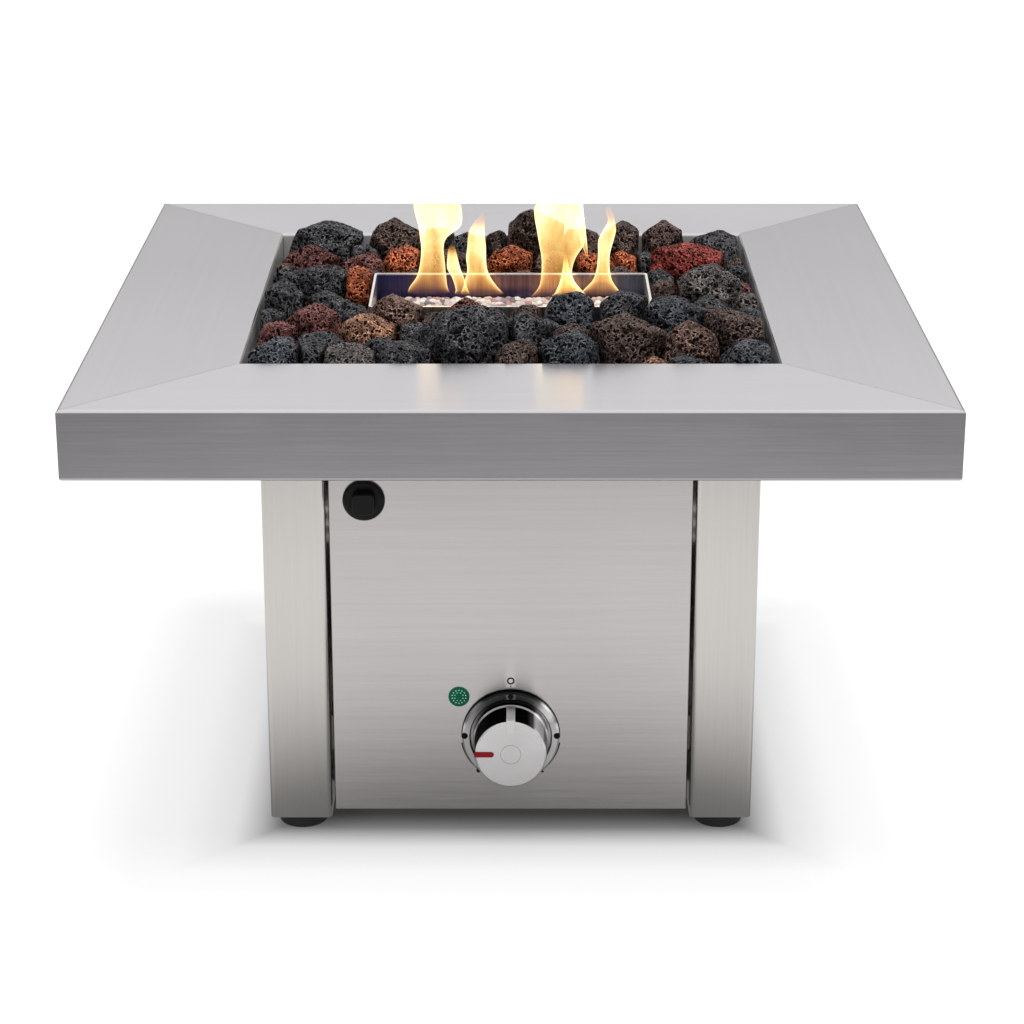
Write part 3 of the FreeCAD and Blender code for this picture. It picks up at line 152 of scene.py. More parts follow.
def brushed_steel(name, colour, roughness, grain, spread=0.85, lines_by=0.03, depth=0.0000030,
                  upright_painted_shade=1.0, lip=0.0):
    """Steel brushed along one axis: fine lines in colour, roughness and relief, and a stretched gloss.
    Upright faces are painted darker by the value given for them, a painted shade, and the grain shows most
    on them. Upright faces nearer the middle than the lip value are the dull folds round the fire."""
    s = Shader(name)
    place = s.place()
    fine = s.stretched(place, [14 if a == grain else 1150 for a in "XYZ"])
    coarse = s.stretched(place, [4 if a == grain else 240 for a in "XYZ"])
    lines = s.noise(fine, 1.0, 3.0, 0.6)
    bands = s.noise(coarse, 1.0, 2.0, 0.5)
    cloud = s.noise(place, 7.0, 3.0, 0.55)
    normal = s.add("NewGeometry").outputs["Normal"]
    level = s.maths("ABSOLUTE", s.add("SeparateXYZ", {0: normal}).outputs[2])
    grain_shown = s.span(level, 0.0, 1.0, 1.0, 0.25)
    tone = s.maths("MULTIPLY", s.span(lines, 0.3, 0.7, -lines_by, lines_by), grain_shown)
    tone = s.maths("ADD", tone, s.span(bands, 0.3, 0.7, -lines_by / 2, lines_by / 2))
    tone = s.maths("ADD", tone, s.span(cloud, 0.3, 0.7, -0.012, 0.012))
    # painted shade: upright faces take the darker value given for them
    bright = s.maths("MULTIPLY", s.maths("ADD", tone, 1.0), s.span(level, 0.2, 0.8, upright_painted_shade, 1.0))
    base = s.vector("SCALE", colour[:3], (0, 0, 0))
    s.put(base.node.inputs["Scale"], bright)
    rough = s.maths("ADD", s.span(lines, 0.3, 0.7, -0.02, 0.02), roughness)
    rough = s.maths("ADD", rough, s.span(cloud, 0.3, 0.7, -0.015, 0.015))
    along = [1.0 if a == grain else 0.0 for a in "XYZ"]
    across = s.vector("CROSS_PRODUCT", normal, along)
    shader = s.principled(Metallic=1.0, Anisotropic=spread)
    if lip:
        apart = s.add("SeparateXYZ", {0: place})
        reach = s.maths("MAXIMUM", s.maths("ABSOLUTE", apart.outputs[0]), s.maths("ABSOLUTE", apart.outputs[1]))
        inside = s.maths("MULTIPLY", s.maths("LESS_THAN", reach, lip), s.maths("LESS_THAN", level, 0.6))
        s.put(shader.inputs["Metallic"], s.span(inside, 0, 1, 1.0, 0.7))
        rough = s.maths("ADD", rough, s.maths("MULTIPLY", inside, 0.2))
        base = s.mix(inside, base, (0.56, 0.56, 0.55, 1))
    s.put(shader.inputs["Base Color"], base)
    s.put(shader.inputs["Roughness"], rough)
    s.put(shader.inputs["Tangent"], across)
    s.put(shader.inputs["Normal"], s.bump(s.maths("MULTIPLY", lines, grain_shown), depth))
    return s.material


def turned_steel(name, colour, roughness, centre, spread, painted_round_light, flat_from=0.8, rings=1600.0):
    """Steel turned on a lathe whose axis is Y: fine rings round the centre, gloss drawn out from it.
    Its round faces carry painted light: the three light values give how bright they are painted at the top, at the
    sides and in a painted highlight up to the right."""
    s = Shader(name)
    place = s.place()
    from_centre = s.vector("SUBTRACT", place, (centre.x, 0, centre.z))
    flat = s.vector("MULTIPLY", from_centre, (1, 0, 1))
    away = s.add("VectorMath", {0: flat}, operation="LENGTH").outputs["Value"]
    depth = s.add("SeparateXYZ", {0: place}).outputs[1]
    turn = s.add("CombineXYZ", {0: s.maths("MULTIPLY", away, rings), 1: s.maths("MULTIPLY", depth, rings)})
    lines = s.noise(turn.outputs[0], 1.0, 3.0, 0.6)
    cloud = s.noise(place, 60.0, 2.0, 0.5)
    tone = s.maths("ADD", s.span(lines, 0.3, 0.7, -0.03, 0.03), s.span(cloud, 0.3, 0.7, -0.02, 0.02))
    geometry = s.add("NewGeometry")
    square = s.maths("ABSOLUTE", s.add("SeparateXYZ", {0: geometry.outputs["Normal"]}).outputs[1])
    radius = s.vector("SUBTRACT", geometry.outputs["Position"], tuple(centre))
    outward = s.vector("NORMALIZE", s.vector("MULTIPLY", radius, (1, 0, 1)), (0, 0, 0))
    split = s.add("SeparateXYZ", {0: outward})
    upward, sideways = split.outputs[2], split.outputs[0]
    # painted light: a highlight painted up to the right of the centre, painted shade at the top of the round faces,
    # painted brightness to the right
    towards = s.add("VectorMath", {0: outward, 1: (0.80, 0, 0.60)}, operation="DOT_PRODUCT").outputs["Value"]
    painted_flare_highlight = s.span(towards, 0.965, 0.995, 0.0, 1.0)
    painted_round_tone = s.maths("ADD", s.span(upward, 0.1, 0.85, painted_round_light[1], painted_round_light[0]), s.maths("MULTIPLY", painted_flare_highlight, painted_round_light[2]))
    painted_round_tone = s.maths("ADD", painted_round_tone, s.span(sideways, 0.45, 0.9, 0.0, painted_round_light[2] * 0.35))
    shown_side = s.span(square, flat_from - 0.3, flat_from, 1.0, 0.0)
    painted_round_tone = s.maths("ADD", s.maths("MULTIPLY", painted_round_tone, shown_side), s.maths("SUBTRACT", 1.0, shown_side))
    base = s.vector("SCALE", colour[:3], (0, 0, 0))
    s.put(base.node.inputs["Scale"], s.maths("MULTIPLY", s.maths("ADD", tone, 1.0), painted_round_tone))
    round_axis = s.vector("CROSS_PRODUCT", (0, 1, 0), radius)
    across = s.vector("CROSS_PRODUCT", geometry.outputs["Normal"], round_axis)
    shader = s.principled(**{"Metallic": 1.0, "Anisotropic": spread, "Specular Tint": (0.2, 0.2, 0.2, 1)})
    s.put(shader.inputs["Base Color"], base)
    s.put(shader.inputs["Roughness"], s.maths("ADD", s.span(lines, 0.3, 0.7, -0.04, 0.04), roughness))
    s.put(shader.inputs["Tangent"], s.vector("NORMALIZE", across, (0, 0, 0)))
    s.put(shader.inputs["Normal"], s.bump(lines, 0.000003))
    return s.material


def tray_steel():
    """Brushed steel that the fire has coloured: deep blue to purple, brown and grey on the wall behind it."""
    s = Shader("tray_steel_heat")
    place = s.place()
    parts = s.add("SeparateXYZ", {0: place})
    x, y, z = parts.outputs[0], parts.outputs[1], parts.outputs[2]
    streak = s.noise(s.stretched(place, (420, 420, 6)), 1.0, 3.0, 0.6)
    patch = s.noise(place, 22.0, 3.0, 0.6)
    shifted = s.maths("ADD", x, s.span(patch, 0.3, 0.7, -0.022, 0.022))
    tint = s.ramp(s.span(shifted, TRAY_LOW.x, TRAY_HIGH.x, 0, 1), [
        (0.0, (0.045, 0.055, 0.20)), (0.10, (0.075, 0.065, 0.17)), (0.28, (0.16, 0.10, 0.15)),
        (0.50, (0.30, 0.17, 0.16)), (0.70, (0.26, 0.17, 0.17)), (0.86, (0.20, 0.17, 0.20)),
        (1.0, (0.16, 0.19, 0.24))])
    low_band = s.maths("ADD", z, s.span(patch, 0.3, 0.7, -0.0025, 0.0025))
    tint = s.mix(s.span(low_band, 0.388, 0.394, 0.75, 0.0), tint, (0.035, 0.04, 0.13, 1))
    facing = s.add("SeparateXYZ", {0: s.add("NewGeometry").outputs["Normal"]}).outputs[1]
    rear = s.maths("GREATER_THAN", y, (TRAY_HIGH.y * 0.9))
    front_side = s.maths("LESS_THAN", facing, -0.5)
    below_rim = s.maths("LESS_THAN", z, TRAY_HIGH.z - 0.0012)
    mask = s.maths("MULTIPLY", s.maths("MULTIPLY", rear, front_side), below_rim)
    plain = s.ramp(streak, [(0.3, (0.46, 0.46, 0.455)), (0.7, (0.56, 0.56, 0.55))])
    plain = s.mix(s.maths("GREATER_THAN", z, TRAY_HIGH.z - 0.0012), plain, (0.82, 0.80, 0.78, 1))
    tinted = s.mix(s.span(streak, 0.35, 0.65, 0.0, 0.45), tint, (0.02, 0.02, 0.03, 1))
    shader = s.principled(Metallic=1.0)
    s.put(shader.inputs["Base Color"], s.mix(mask, plain, tinted))
    s.put(shader.inputs["Roughness"], s.span(streak, 0.3, 0.7, 0.24, 0.38))
    s.put(shader.inputs["Normal"], s.bump(streak, 0.00002))
    return s.material


def plain_metal(name, colour, roughness, speckle=0.06, scale=180.0, depth=0.00003):
    """Mill, cast or plated metal: a fine uneven surface with no direction."""
    s = Shader(name)
    place = s.place()
    fine = s.noise(place, scale, 4.0, 0.6)
    broad = s.noise(place, 18.0, 3.0, 0.5)
    tone = s.maths("ADD", s.span(fine, 0.3, 0.7, -speckle, speckle), s.span(broad, 0.3, 0.7, -0.04, 0.04))
    base = s.vector("SCALE", colour[:3], (0, 0, 0))
    s.put(base.node.inputs["Scale"], s.maths("ADD", tone, 1.0))
    shader = s.principled(Metallic=1.0)
    s.put(shader.inputs["Base Color"], base)
    s.put(shader.inputs["Roughness"], s.maths("ADD", s.span(fine, 0.3, 0.7, -0.06, 0.06), roughness))
    s.put(shader.inputs["Normal"], s.bump(fine, depth))
    return s.material


def moulded(name, colour, roughness, coat=0.0, scale=900.0, depth=0.00002, gloss=0.5):
    """Moulded plastic, enamel, rubber, ceramic or paint, with a fine skin."""
    s = Shader(name)
    place = s.place()
    fine = s.noise(place, scale, 3.0, 0.5)
    broad = s.noise(place, 45.0, 2.0, 0.5)
    tone = s.maths("ADD", s.span(fine, 0.3, 0.7, -0.08, 0.08), s.span(broad, 0.3, 0.7, -0.06, 0.06))
    base = s.vector("SCALE", colour[:3], (0, 0, 0))
    s.put(base.node.inputs["Scale"], s.maths("ADD", tone, 1.0))
    shader = s.principled(**{"Coat Weight": coat, "Coat Roughness": 0.08, "Specular IOR Level": gloss})
    s.put(shader.inputs["Base Color"], base)
    s.put(shader.inputs["Roughness"], s.maths("ADD", s.span(fine, 0.3, 0.7, -0.04, 0.04), roughness))
    s.put(shader.inputs["Normal"], s.bump(fine, depth))
    return s.material


# ---- rocks and pebbles --------------------------------------------------------------------------

def rock_material():
    """Lava rock: each lump's own colour, pores of several sizes painted dark as shade, a painted highlight round their
    rims, and painted shade in the carved pits.
    """
    s = Shader("lava_rock_porous")
    place = s.place()
    tint = s.add("Attribute", attribute_name="rock_tint").outputs["Color"]
    pit = s.add("Attribute", attribute_name="rock_pit").outputs["Fac"]
    warp = s.noise(place, 120.0, 2.0, 0.5)
    moved = s.vector("ADD", place, s.vector("SCALE", s.add("CombineXYZ", {0: warp, 1: warp, 2: warp}).outputs[0], (0, 0, 0)))
    moved.node.inputs[1].links[0].from_node.inputs["Scale"].default_value = 0.004
    wide = s.add("TexVoronoi", {"Vector": moved, "Scale": 205.0, "Randomness": 1.0}).outputs["Distance"]
    close = s.add("TexVoronoi", {"Vector": moved, "Scale": 400.0, "Randomness": 1.0}).outputs["Distance"]
    tiny = s.add("TexVoronoi", {"Vector": moved, "Scale": 760.0, "Randomness": 1.0}).outputs["Distance"]
    grit = s.noise(place, 1100.0, 3.0, 0.65)
    patches = s.noise(place, 48.0, 3.0, 0.6)
    hole_wide = s.span(wide, 0.27, 0.36, 0, 1)
    hole_close = s.span(close, 0.30, 0.40, 0, 1)
    hole_tiny = s.span(tiny, 0.26, 0.42, 0, 1)
    skin = s.maths("MULTIPLY", s.maths("MULTIPLY", hole_wide, hole_close), hole_tiny)
    # painted highlight: bright rings round the pores stand in for light on their rims
    rim = s.maths("MULTIPLY", s.span(wide, 0.34, 0.40, 0, 1), s.span(wide, 0.42, 0.56, 1, 0))
    painted_close_rim_highlight = s.maths("MULTIPLY", s.span(close, 0.38, 0.44, 0, 1), s.span(close, 0.46, 0.60, 1, 0))
    height = s.maths("ADD", s.maths("MULTIPLY", hole_wide, 0.55), s.maths("MULTIPLY", hole_close, 0.33))
    height = s.maths("ADD", height, s.maths("MULTIPLY", hole_tiny, 0.12))
    height = s.maths("ADD", height, s.maths("MULTIPLY", grit, 0.20))
    shade = s.span(patches, 0.3, 0.7, 0.45, 1.6)
    # painted shade: the pores are painted near black
    shade = s.maths("MULTIPLY", shade, s.span(skin, 0, 1, 0.05, 1.0))
    shade = s.maths("MULTIPLY", shade, s.maths("ADD", s.maths("MULTIPLY", rim, 1.5), 1.0))
    shade = s.maths("MULTIPLY", shade, s.maths("ADD", s.maths("MULTIPLY", painted_close_rim_highlight, 1.1), 1.0))
    # painted shade in the carved pits
    shade = s.maths("MULTIPLY", shade, s.span(pit, 0, 1, 1.1, 0.10))
    shade = s.maths("MULTIPLY", shade, s.span(grit, 0.3, 0.7, 0.45, 1.75))
    base = s.vector("SCALE", tint, (0, 0, 0))
    s.put(base.node.inputs["Scale"], shade)
    shader = s.principled(**{"Specular IOR Level": 0.09})
    s.put(shader.inputs["Base Color"], base)
    s.put(shader.inputs["Roughness"], s.span(s.maths("MULTIPLY", skin, grit), 0.1, 0.6, 0.85, 0.42))
    s.put(shader.inputs["Normal"], s.bump(height, 0.0024, 1.0))
    return s.material


CHARCOAL, BLUISH, BROWN = (0.030, 0.030, 0.032), (0.032, 0.034, 0.039), (0.042, 0.029, 0.025)
MAROON, ORANGE, TAN = (0.062, 0.025, 0.023), (0.185, 0.050, 0.022), (0.150, 0.078, 0.050)
BRICK, GREY_BROWN, UMBER = (0.112, 0.022, 0.018), (0.052, 0.046, 0.044), (0.078, 0.048, 0.038)

# rock colours by place on the bed, in millimetres
ROCK_TINTS = [
    (-161, 180, CHARCOAL), (-102, 182, BROWN), (-175, 130, MAROON), (-157, 148, CHARCOAL),
    (-133, 156, CHARCOAL), (-130, 116, MAROON), (-96, 130, ORANGE), (-158, 40, CHARCOAL),
    (-192, 64, CHARCOAL), (-128, 36, ORANGE), (-191, -16, CHARCOAL), (-161, -74, MAROON),
    (-187, -108, MAROON), (-135, -38, CHARCOAL), (-95, -76, UMBER), (-115, -112, TAN),
    (-80, -114, CHARCOAL), (-184, -178, BLUISH), (-159, -176, CHARCOAL), (-128, -178, GREY_BROWN),
    (-82, -176, CHARCOAL), (-36, -140, CHARCOAL), (-38, -70, MAROON), (-14, 184, BROWN),
    (0, 118, ORANGE), (23, 176, BROWN), (-41, 172, CHARCOAL), (-56, 122, BROWN), (8, -118, CHARCOAL),
    (15, -72, BROWN), (49, -76, BLUISH), (90, -78, CHARCOAL), (87, -156, BROWN), (46, -178, BLUISH),
    (5, -182, BROWN), (26, -104, CHARCOAL), (132, -88, BLUISH), (140, -160, UMBER), (111, -190, TAN),
    (138, -188, CHARCOAL), (181, -112, BROWN), (187, -180, BLUISH), (154, 112, BRICK),
    (168, 20, GREY_BROWN), (133, 20, BROWN), (183, 160, CHARCOAL), (135, 180, BROWN),
    (107, 180, BROWN), (100, 126, ORANGE), (119, 124, CHARCOAL), (197, 72, CHARCOAL),
    (196, 34, MAROON), (198, -24, GREY_BROWN), (64, 178, BROWN), (73, 112, ORANGE), (39, 112, BROWN),
]


def rock_tint(centre, chance):
    """The listed colour of the nearest place, or a dark filler's where none is near."""
    x, y = centre.x * 1000, centre.y * 1000
    near = min(ROCK_TINTS, key=lambda t: math.hypot(t[0] - x, t[1] - y))
    colour = near[2] if math.hypot(near[0] - x, near[1] - y) < 16 else chance.choice((CHARCOAL, BROWN))
    shade = chance.uniform(0.88, 1.12)
    return [c * shade for c in colour]


def loose_parts(mesh):
    """The corner places of each separate lump of a mesh."""
    bm = bmesh.new()
    bm.from_mesh(mesh)
    bmesh.ops.remove_doubles(bm, verts=bm.verts, dist=1e-5)
    seen, parts = set(), []
    for start in bm.verts:
        if start in seen:
            continue
        seen.add(start)
        queue, found = [start], []
        while queue:
            v = queue.pop()
            found.append(v)
            for e in v.link_edges:
                other = e.other_vert(v)
                if other not in seen:
                    seen.add(other)
                    queue.append(other)
        faces = {f for v in found for f in v.link_faces}
        planes = [(tuple(f.normal), f.calc_center_median().copy()) for f in faces]
        parts.append(([v.co.copy() for v in found], planes))
    bm.free()
    return parts


def unit_sphere(steps):
    bm = bmesh.new()
    bmesh.ops.create_icosphere(bm, subdivisions=steps, radius=1.0)
    points = np.array([v.co for v in bm.verts])
    faces = [[v.index for v in f.verts] for f in bm.faces]
    bm.free()
    return points, faces


def rounded_reach(directions, planes, centre, sharp=40.0):
    """How far the lump goes from its centre each way, with its corners worn round."""
    total = np.zeros(len(directions))
    for normal, point in planes:
        d = max((point - centre).dot(Vector(normal)), 1e-4)
        total += np.maximum(directions @ np.array(normal), 0) ** sharp / d ** sharp
    return total ** (-1.0 / sharp)


def pore_depth(p, scale, keep, chance_shift):
    """Depth from 0 to 1 of the round pit that p lies in, where there is one."""
    distances, points = noise.voronoi(p * scale)
    cell = noise.cell(points[0] * 3.7 + chance_shift)
    if abs(cell) < keep:
        return 0.0
    size = 0.20 + 0.26 * abs(cell)
    return max(0.0, 1.0 - (distances[0] / size) ** 3)


ROCK_SWELL = 1.03        # worn corners lose a little, which this gives back


def carved_rock(points, planes, steps, seed):
    """One lava rock inside its convex lump: worn corners, dents, pits and a rough skin."""
    chance = random.Random(seed)
    centre = sum(points, Vector()) / len(points)
    directions, faces = unit_sphere(steps)
    reach = rounded_reach(directions, planes, centre)
    size = float(np.median(reach))
    shift = Vector((chance.uniform(0, 50), chance.uniform(0, 50), chance.uniform(0, 50)))
    porous = chance.uniform(0.15, 0.5)
    places, pits = [], []
    for direction, r in zip(directions, reach):
        d = Vector(direction)
        p = centre + d * r
        q = p + shift
        dent = 0.5 + 0.5 * noise.noise(q * 38.0)
        lump = 0.5 + 0.5 * noise.noise(q * 95.0)
        rough = 0.5 + 0.5 * noise.noise(q * 300.0)
        big = pore_depth(q, 125.0, porous, shift)
        mid = pore_depth(q, 235.0, porous - 0.15, shift)
        depth = 0.085 * dent + 0.05 * lump + 0.03 * rough
        inward = size * depth + 0.0030 * big + 0.0019 * mid
        places.append(centre + d * max(r * ROCK_SWELL - inward, size * 0.3))
        pits.append(min(1.0, big * 0.95 + mid * 0.8))
    return places, faces, pits, rock_tint(centre, chance)


def build_rocks(name, node, lumps, finish, steps):
    places, faces, pits, tints = [], [], [], []
    for i, (points, planes) in lumps:
        rock, rock_faces, rock_pits, tint = carved_rock(points, planes, steps, 40 + i)
        first = len(places)
        places.extend(rock)
        faces.extend([first + k for k in f] for f in rock_faces)
        pits.extend(rock_pits)
        tints.extend([tint] * len(rock))
    mesh = bpy.data.meshes.new(name)
    mesh.from_pydata(places, [], faces)
    mesh.polygons.foreach_set("use_smooth", [True] * len(mesh.polygons))
    colour = mesh.color_attributes.new("rock_tint", "FLOAT_COLOR", "POINT")
    colour.data.foreach_set("color", np.array([[*t, 1] for t in tints], np.float32).ravel())
    pit = mesh.attributes.new("rock_pit", "FLOAT", "POINT")
    pit.data.foreach_set("value", np.array(pits, np.float32))
    mesh.materials.append(finish)
    obj = bpy.data.objects.new(name, mesh)
    bpy.context.collection.objects.link(obj)
    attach(obj, "table")
    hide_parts(node)
    return obj


def lava_rocks():
    """Every lump of the four rock nodes, the largest ones on show with the finest mesh."""
    finish = rock_material()
    for node in ("lava_rocks_front", "lava_rocks_rear", "lava_rocks_left", "lava_rocks_right"):
        lumps = list(enumerate(loose_parts(NODES[node].data)))
        def width(lump):
            xs = [p.x for p in lump[1][0]]
            tops = [p.z for p in lump[1][0]]
            return (max(xs) - min(xs)) + (max(tops) - TOP_Z) * 2
        lumps.sort(key=width, reverse=True)
        fine = 9 if node.endswith("front") else (6 if node.endswith("rear") else 2)
        build_rocks(node + "_large", node, lumps[:fine], finish, 6)
        build_rocks(node + "_small", node, lumps[fine:], finish, 5)


def pebble_material():
    s = Shader("fire_pebbles")
    place = s.place()
    tint = s.add("Attribute", attribute_name="pebble_tint").outputs["Color"]
    vein = s.noise(place, 260.0, 4.0, 0.65)
    fine = s.noise(place, 1400.0, 2.0, 0.5)
    base = s.vector("SCALE", tint, (0, 0, 0))
    s.put(base.node.inputs["Scale"], s.maths("MULTIPLY", s.span(vein, 0.3, 0.7, 0.8, 1.08), s.span(fine, 0.3, 0.7, 0.95, 1.04)))
    shader = s.principled(**{"Specular IOR Level": 0.2})
    s.put(shader.inputs["Base Color"], base)
    s.put(shader.inputs["Roughness"], s.span(vein, 0.3, 0.7, 0.35, 0.55))
    s.put(shader.inputs["Normal"], s.bump(vein, 0.0002))
    return s.material


PEBBLE_TINTS = [(0.55, 0.52, 0.51), (0.46, 0.37, 0.37), (0.52, 0.52, 0.54), (0.38, 0.22, 0.21),
                (0.64, 0.63, 0.63), (0.26, 0.22, 0.22), (0.48, 0.40, 0.36), (0.16, 0.14, 0.15)]
BLUE_PEBBLE = (0.10, 0.36, 0.60)


def pebbles():
    """Smooth chips that fill the tray to its pebble line, each its own lump."""
    chance = random.Random(12)
    sphere, faces = unit_sphere(3)
    places, rings, tints = [], [], []
    low, high = PEBBLE_LOW, PEBBLE_HIGH
    pitch = 0.0083
    for layer, z in enumerate((low.z + 0.0042, high.z - 0.0040)):
        rows = int((high.y - low.y - 0.006) / (pitch * 0.87))
        for row in range(rows):
            y = low.y + 0.0048 + row * (high.y - low.y - 0.0096) / (rows - 1)
            count = int((high.x - low.x - 0.007) / pitch)
            for i in range(count):
                offset = 0.5 * ((row + layer) % 2)
                x = low.x + 0.0052 + (i + offset) * (high.x - low.x - 0.0104) / (count - 0.5)
                middle = Vector((x + chance.uniform(-0.0011, 0.0011), y + chance.uniform(-0.001, 0.001),
                                 z + chance.uniform(-0.0012, 0.0) * layer))
                size = [chance.uniform(0.0036, 0.0050), chance.uniform(0.0031, 0.0041),
                        chance.uniform(0.0029, 0.0040)]
                turn = chance.uniform(0, math.pi)
                tilt = chance.uniform(-0.35, 0.35)
                shift = Vector((chance.uniform(0, 9), chance.uniform(0, 9), chance.uniform(0, 9)))
                tint = chance.choice(PEBBLE_TINTS)
                if layer == 1 and abs(x - (high.x - 0.014)) < pitch / 2 and row in (1, 4):
                    tint = BLUE_PEBBLE
                first = len(places)
                for u in sphere:
                    d = Vector(u)
                    swell = 1 + 0.16 * noise.noise(d * 1.4 + shift)
                    px, py, pz = d.x * size[0] * swell, d.y * size[1] * swell, d.z * size[2] * swell
                    pz, px = pz * math.cos(tilt) - px * math.sin(tilt), px * math.cos(tilt) + pz * math.sin(tilt)
                    qx = px * math.cos(turn) - py * math.sin(turn)
                    qy = px * math.sin(turn) + py * math.cos(turn)
                    p = middle + Vector((qx, qy, pz))
                    p.x = min(max(p.x, low.x + 0.0003), high.x - 0.0003)
                    p.y = min(max(p.y, low.y + 0.0003), high.y - 0.0003)
                    p.z = min(max(p.z, low.z), high.z)
                    places.append(p)
                rings.extend([first + k for k in f] for f in faces)
                tints.extend([tint] * len(sphere))
    mesh = bpy.data.meshes.new("tray_pebbles")
    mesh.from_pydata(places, [], rings)
    mesh.polygons.foreach_set("use_smooth", [True] * len(mesh.polygons))
    colour = mesh.color_attributes.new("pebble_tint", "FLOAT_COLOR", "POINT")
    colour.data.foreach_set("color", np.array([[*t, 1] for t in tints], np.float32).ravel())
    mesh.materials.append(pebble_material())
    obj = bpy.data.objects.new("tray_pebbles", mesh)
    bpy.context.collection.objects.link(obj)
    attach(obj, "table")
    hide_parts("pebble_bed")
    return obj


# ---- printed marks, and a painted shadow line by the bezel --------------------------------------

PRINT = 0.00015          # height of a printed mark


def flat_piece(name, outlines, back, finish, body, height=PRINT):
    """Thin raised marks on a surface that faces -Y, each from a ring of (x, z) places."""
    bm = bmesh.new()
    for ring in outlines:
        near = [bm.verts.new((x, back - height, z)) for x, z in ring]
        far = [bm.verts.new((x, back, z)) for x, z in ring]
        bm.faces.new(near)
        bm.faces.new(far[::-1])
        for i in range(len(ring)):
            j = (i + 1) % len(ring)
            bm.faces.new((near[j], near[i], far[i], far[j]))
    bmesh.ops.recalc_face_normals(bm, faces=bm.faces)
    mesh = bpy.data.meshes.new(name)
    bm.to_mesh(mesh)
    bm.free()
    mesh.materials.append(finish)
    obj = bpy.data.objects.new(name, mesh)
    bpy.context.collection.objects.link(obj)
    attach(obj, body)
    return obj


def disc(x, z, r, steps=28):
    return [(x + r * math.cos(2 * math.pi * i / steps), z + r * math.sin(2 * math.pi * i / steps))
            for i in range(steps)]


def arc_band(cx, cz, radius, width, start, end, steps=24):
    """A band along an arc with round ends, angles in degrees from +X."""
    half = width / 2
    a0, a1 = math.radians(start), math.radians(end)
    ring = []
    for i in range(steps + 1):
        a = a0 + (a1 - a0) * i / steps
        ring.append((cx + (radius + half) * math.cos(a), cz + (radius + half) * math.sin(a)))
    for i in range(1, 6):
        b = a1 + math.pi * i / 6
        ring.append((cx + radius * math.cos(a1) + half * math.cos(b), cz + radius * math.sin(a1) + half * math.sin(b)))
    for i in range(steps + 1):
        a = a1 + (a0 - a1) * i / steps
        ring.append((cx + (radius - half) * math.cos(a), cz + (radius - half) * math.sin(a)))
    for i in range(1, 6):
        b = a0 + math.pi + math.pi * i / 6
        ring.append((cx + radius * math.cos(a0) + half * math.cos(b), cz + radius * math.sin(a0) + half * math.sin(b)))
    return ring


def dial_marks_and_painted_shadow(ink_and_painted_shadow):
    """Arcs and dots of the flame scale round the bezel, the off ring above it, and a thin dark arc along the bezel's
    upper edge, a painted shadow line.
    """
    marks = [
        arc_band(DIAL.x, DIAL.z, 0.0402, 0.0012, 191, 221),
        arc_band(DIAL.x, DIAL.z, 0.0402, 0.0012, 319, 349),
        # painted shadow: a thin dark arc round the top of the bezel's outer edge, where there is only shade
        arc_band(DIAL.x, DIAL.z, 0.0396, 0.0007, -3, 183, 90),
        disc(DIAL.x - 0.0262, DIAL.z - 0.0318, 0.0018),
        disc(DIAL.x + 0.0258, DIAL.z - 0.0326, 0.0010),
        disc(DIAL.x, DIAL.z + 0.0424, 0.0006, 14),
    ]
    ring_out, ring_in = disc(DIAL.x, DIAL.z + 0.0471, 0.0031, 36), disc(DIAL.x, DIAL.z + 0.0471, 0.0019, 36)
    for i in range(36):
        j = (i + 1) % 36
        marks.append([ring_out[i], ring_out[j], ring_in[j], ring_in[i]])
    return flat_piece("dial_marks_and_painted_shadow", marks, PANEL_LOW.y, ink_and_painted_shadow, "table")


def badge_ring(finish):
    """A plain ring of small pale dots on the round badge."""
    cx, cz = (BADGE_LOW.x + BADGE_HIGH.x) / 2, (BADGE_LOW.z + BADGE_HIGH.z) / 2
    dots = []
    for count, radius, size in ((14, 0.0056, 0.00052), (8, 0.0035, 0.00046)):
        for i in range(count):
            a = 2 * math.pi * (i + 0.5) / count
            dots.append(disc(cx + radius * math.cos(a), cz + radius * math.sin(a), size, 12))
    return flat_piece("badge_ring", dots, BADGE_LOW.y, finish, "table", 0.00008)


def knob_ring(finish):
    """The thin engraved circle in the middle of the knob's face, left bare inside."""
    ring_out, ring_in = disc(DIAL.x, DIAL.z, 0.0082, 48), disc(DIAL.x, DIAL.z, 0.0079, 48)
    marks = [[ring_out[i], ring_out[(i + 1) % 48], ring_in[(i + 1) % 48], ring_in[i]] for i in range(48)]
    return flat_piece("knob_face_ring", marks, KNOB_LOW.y, finish, "knob", 0.00006)


# ---- finishes of the CAD nodes ------------------------------------------------------------------

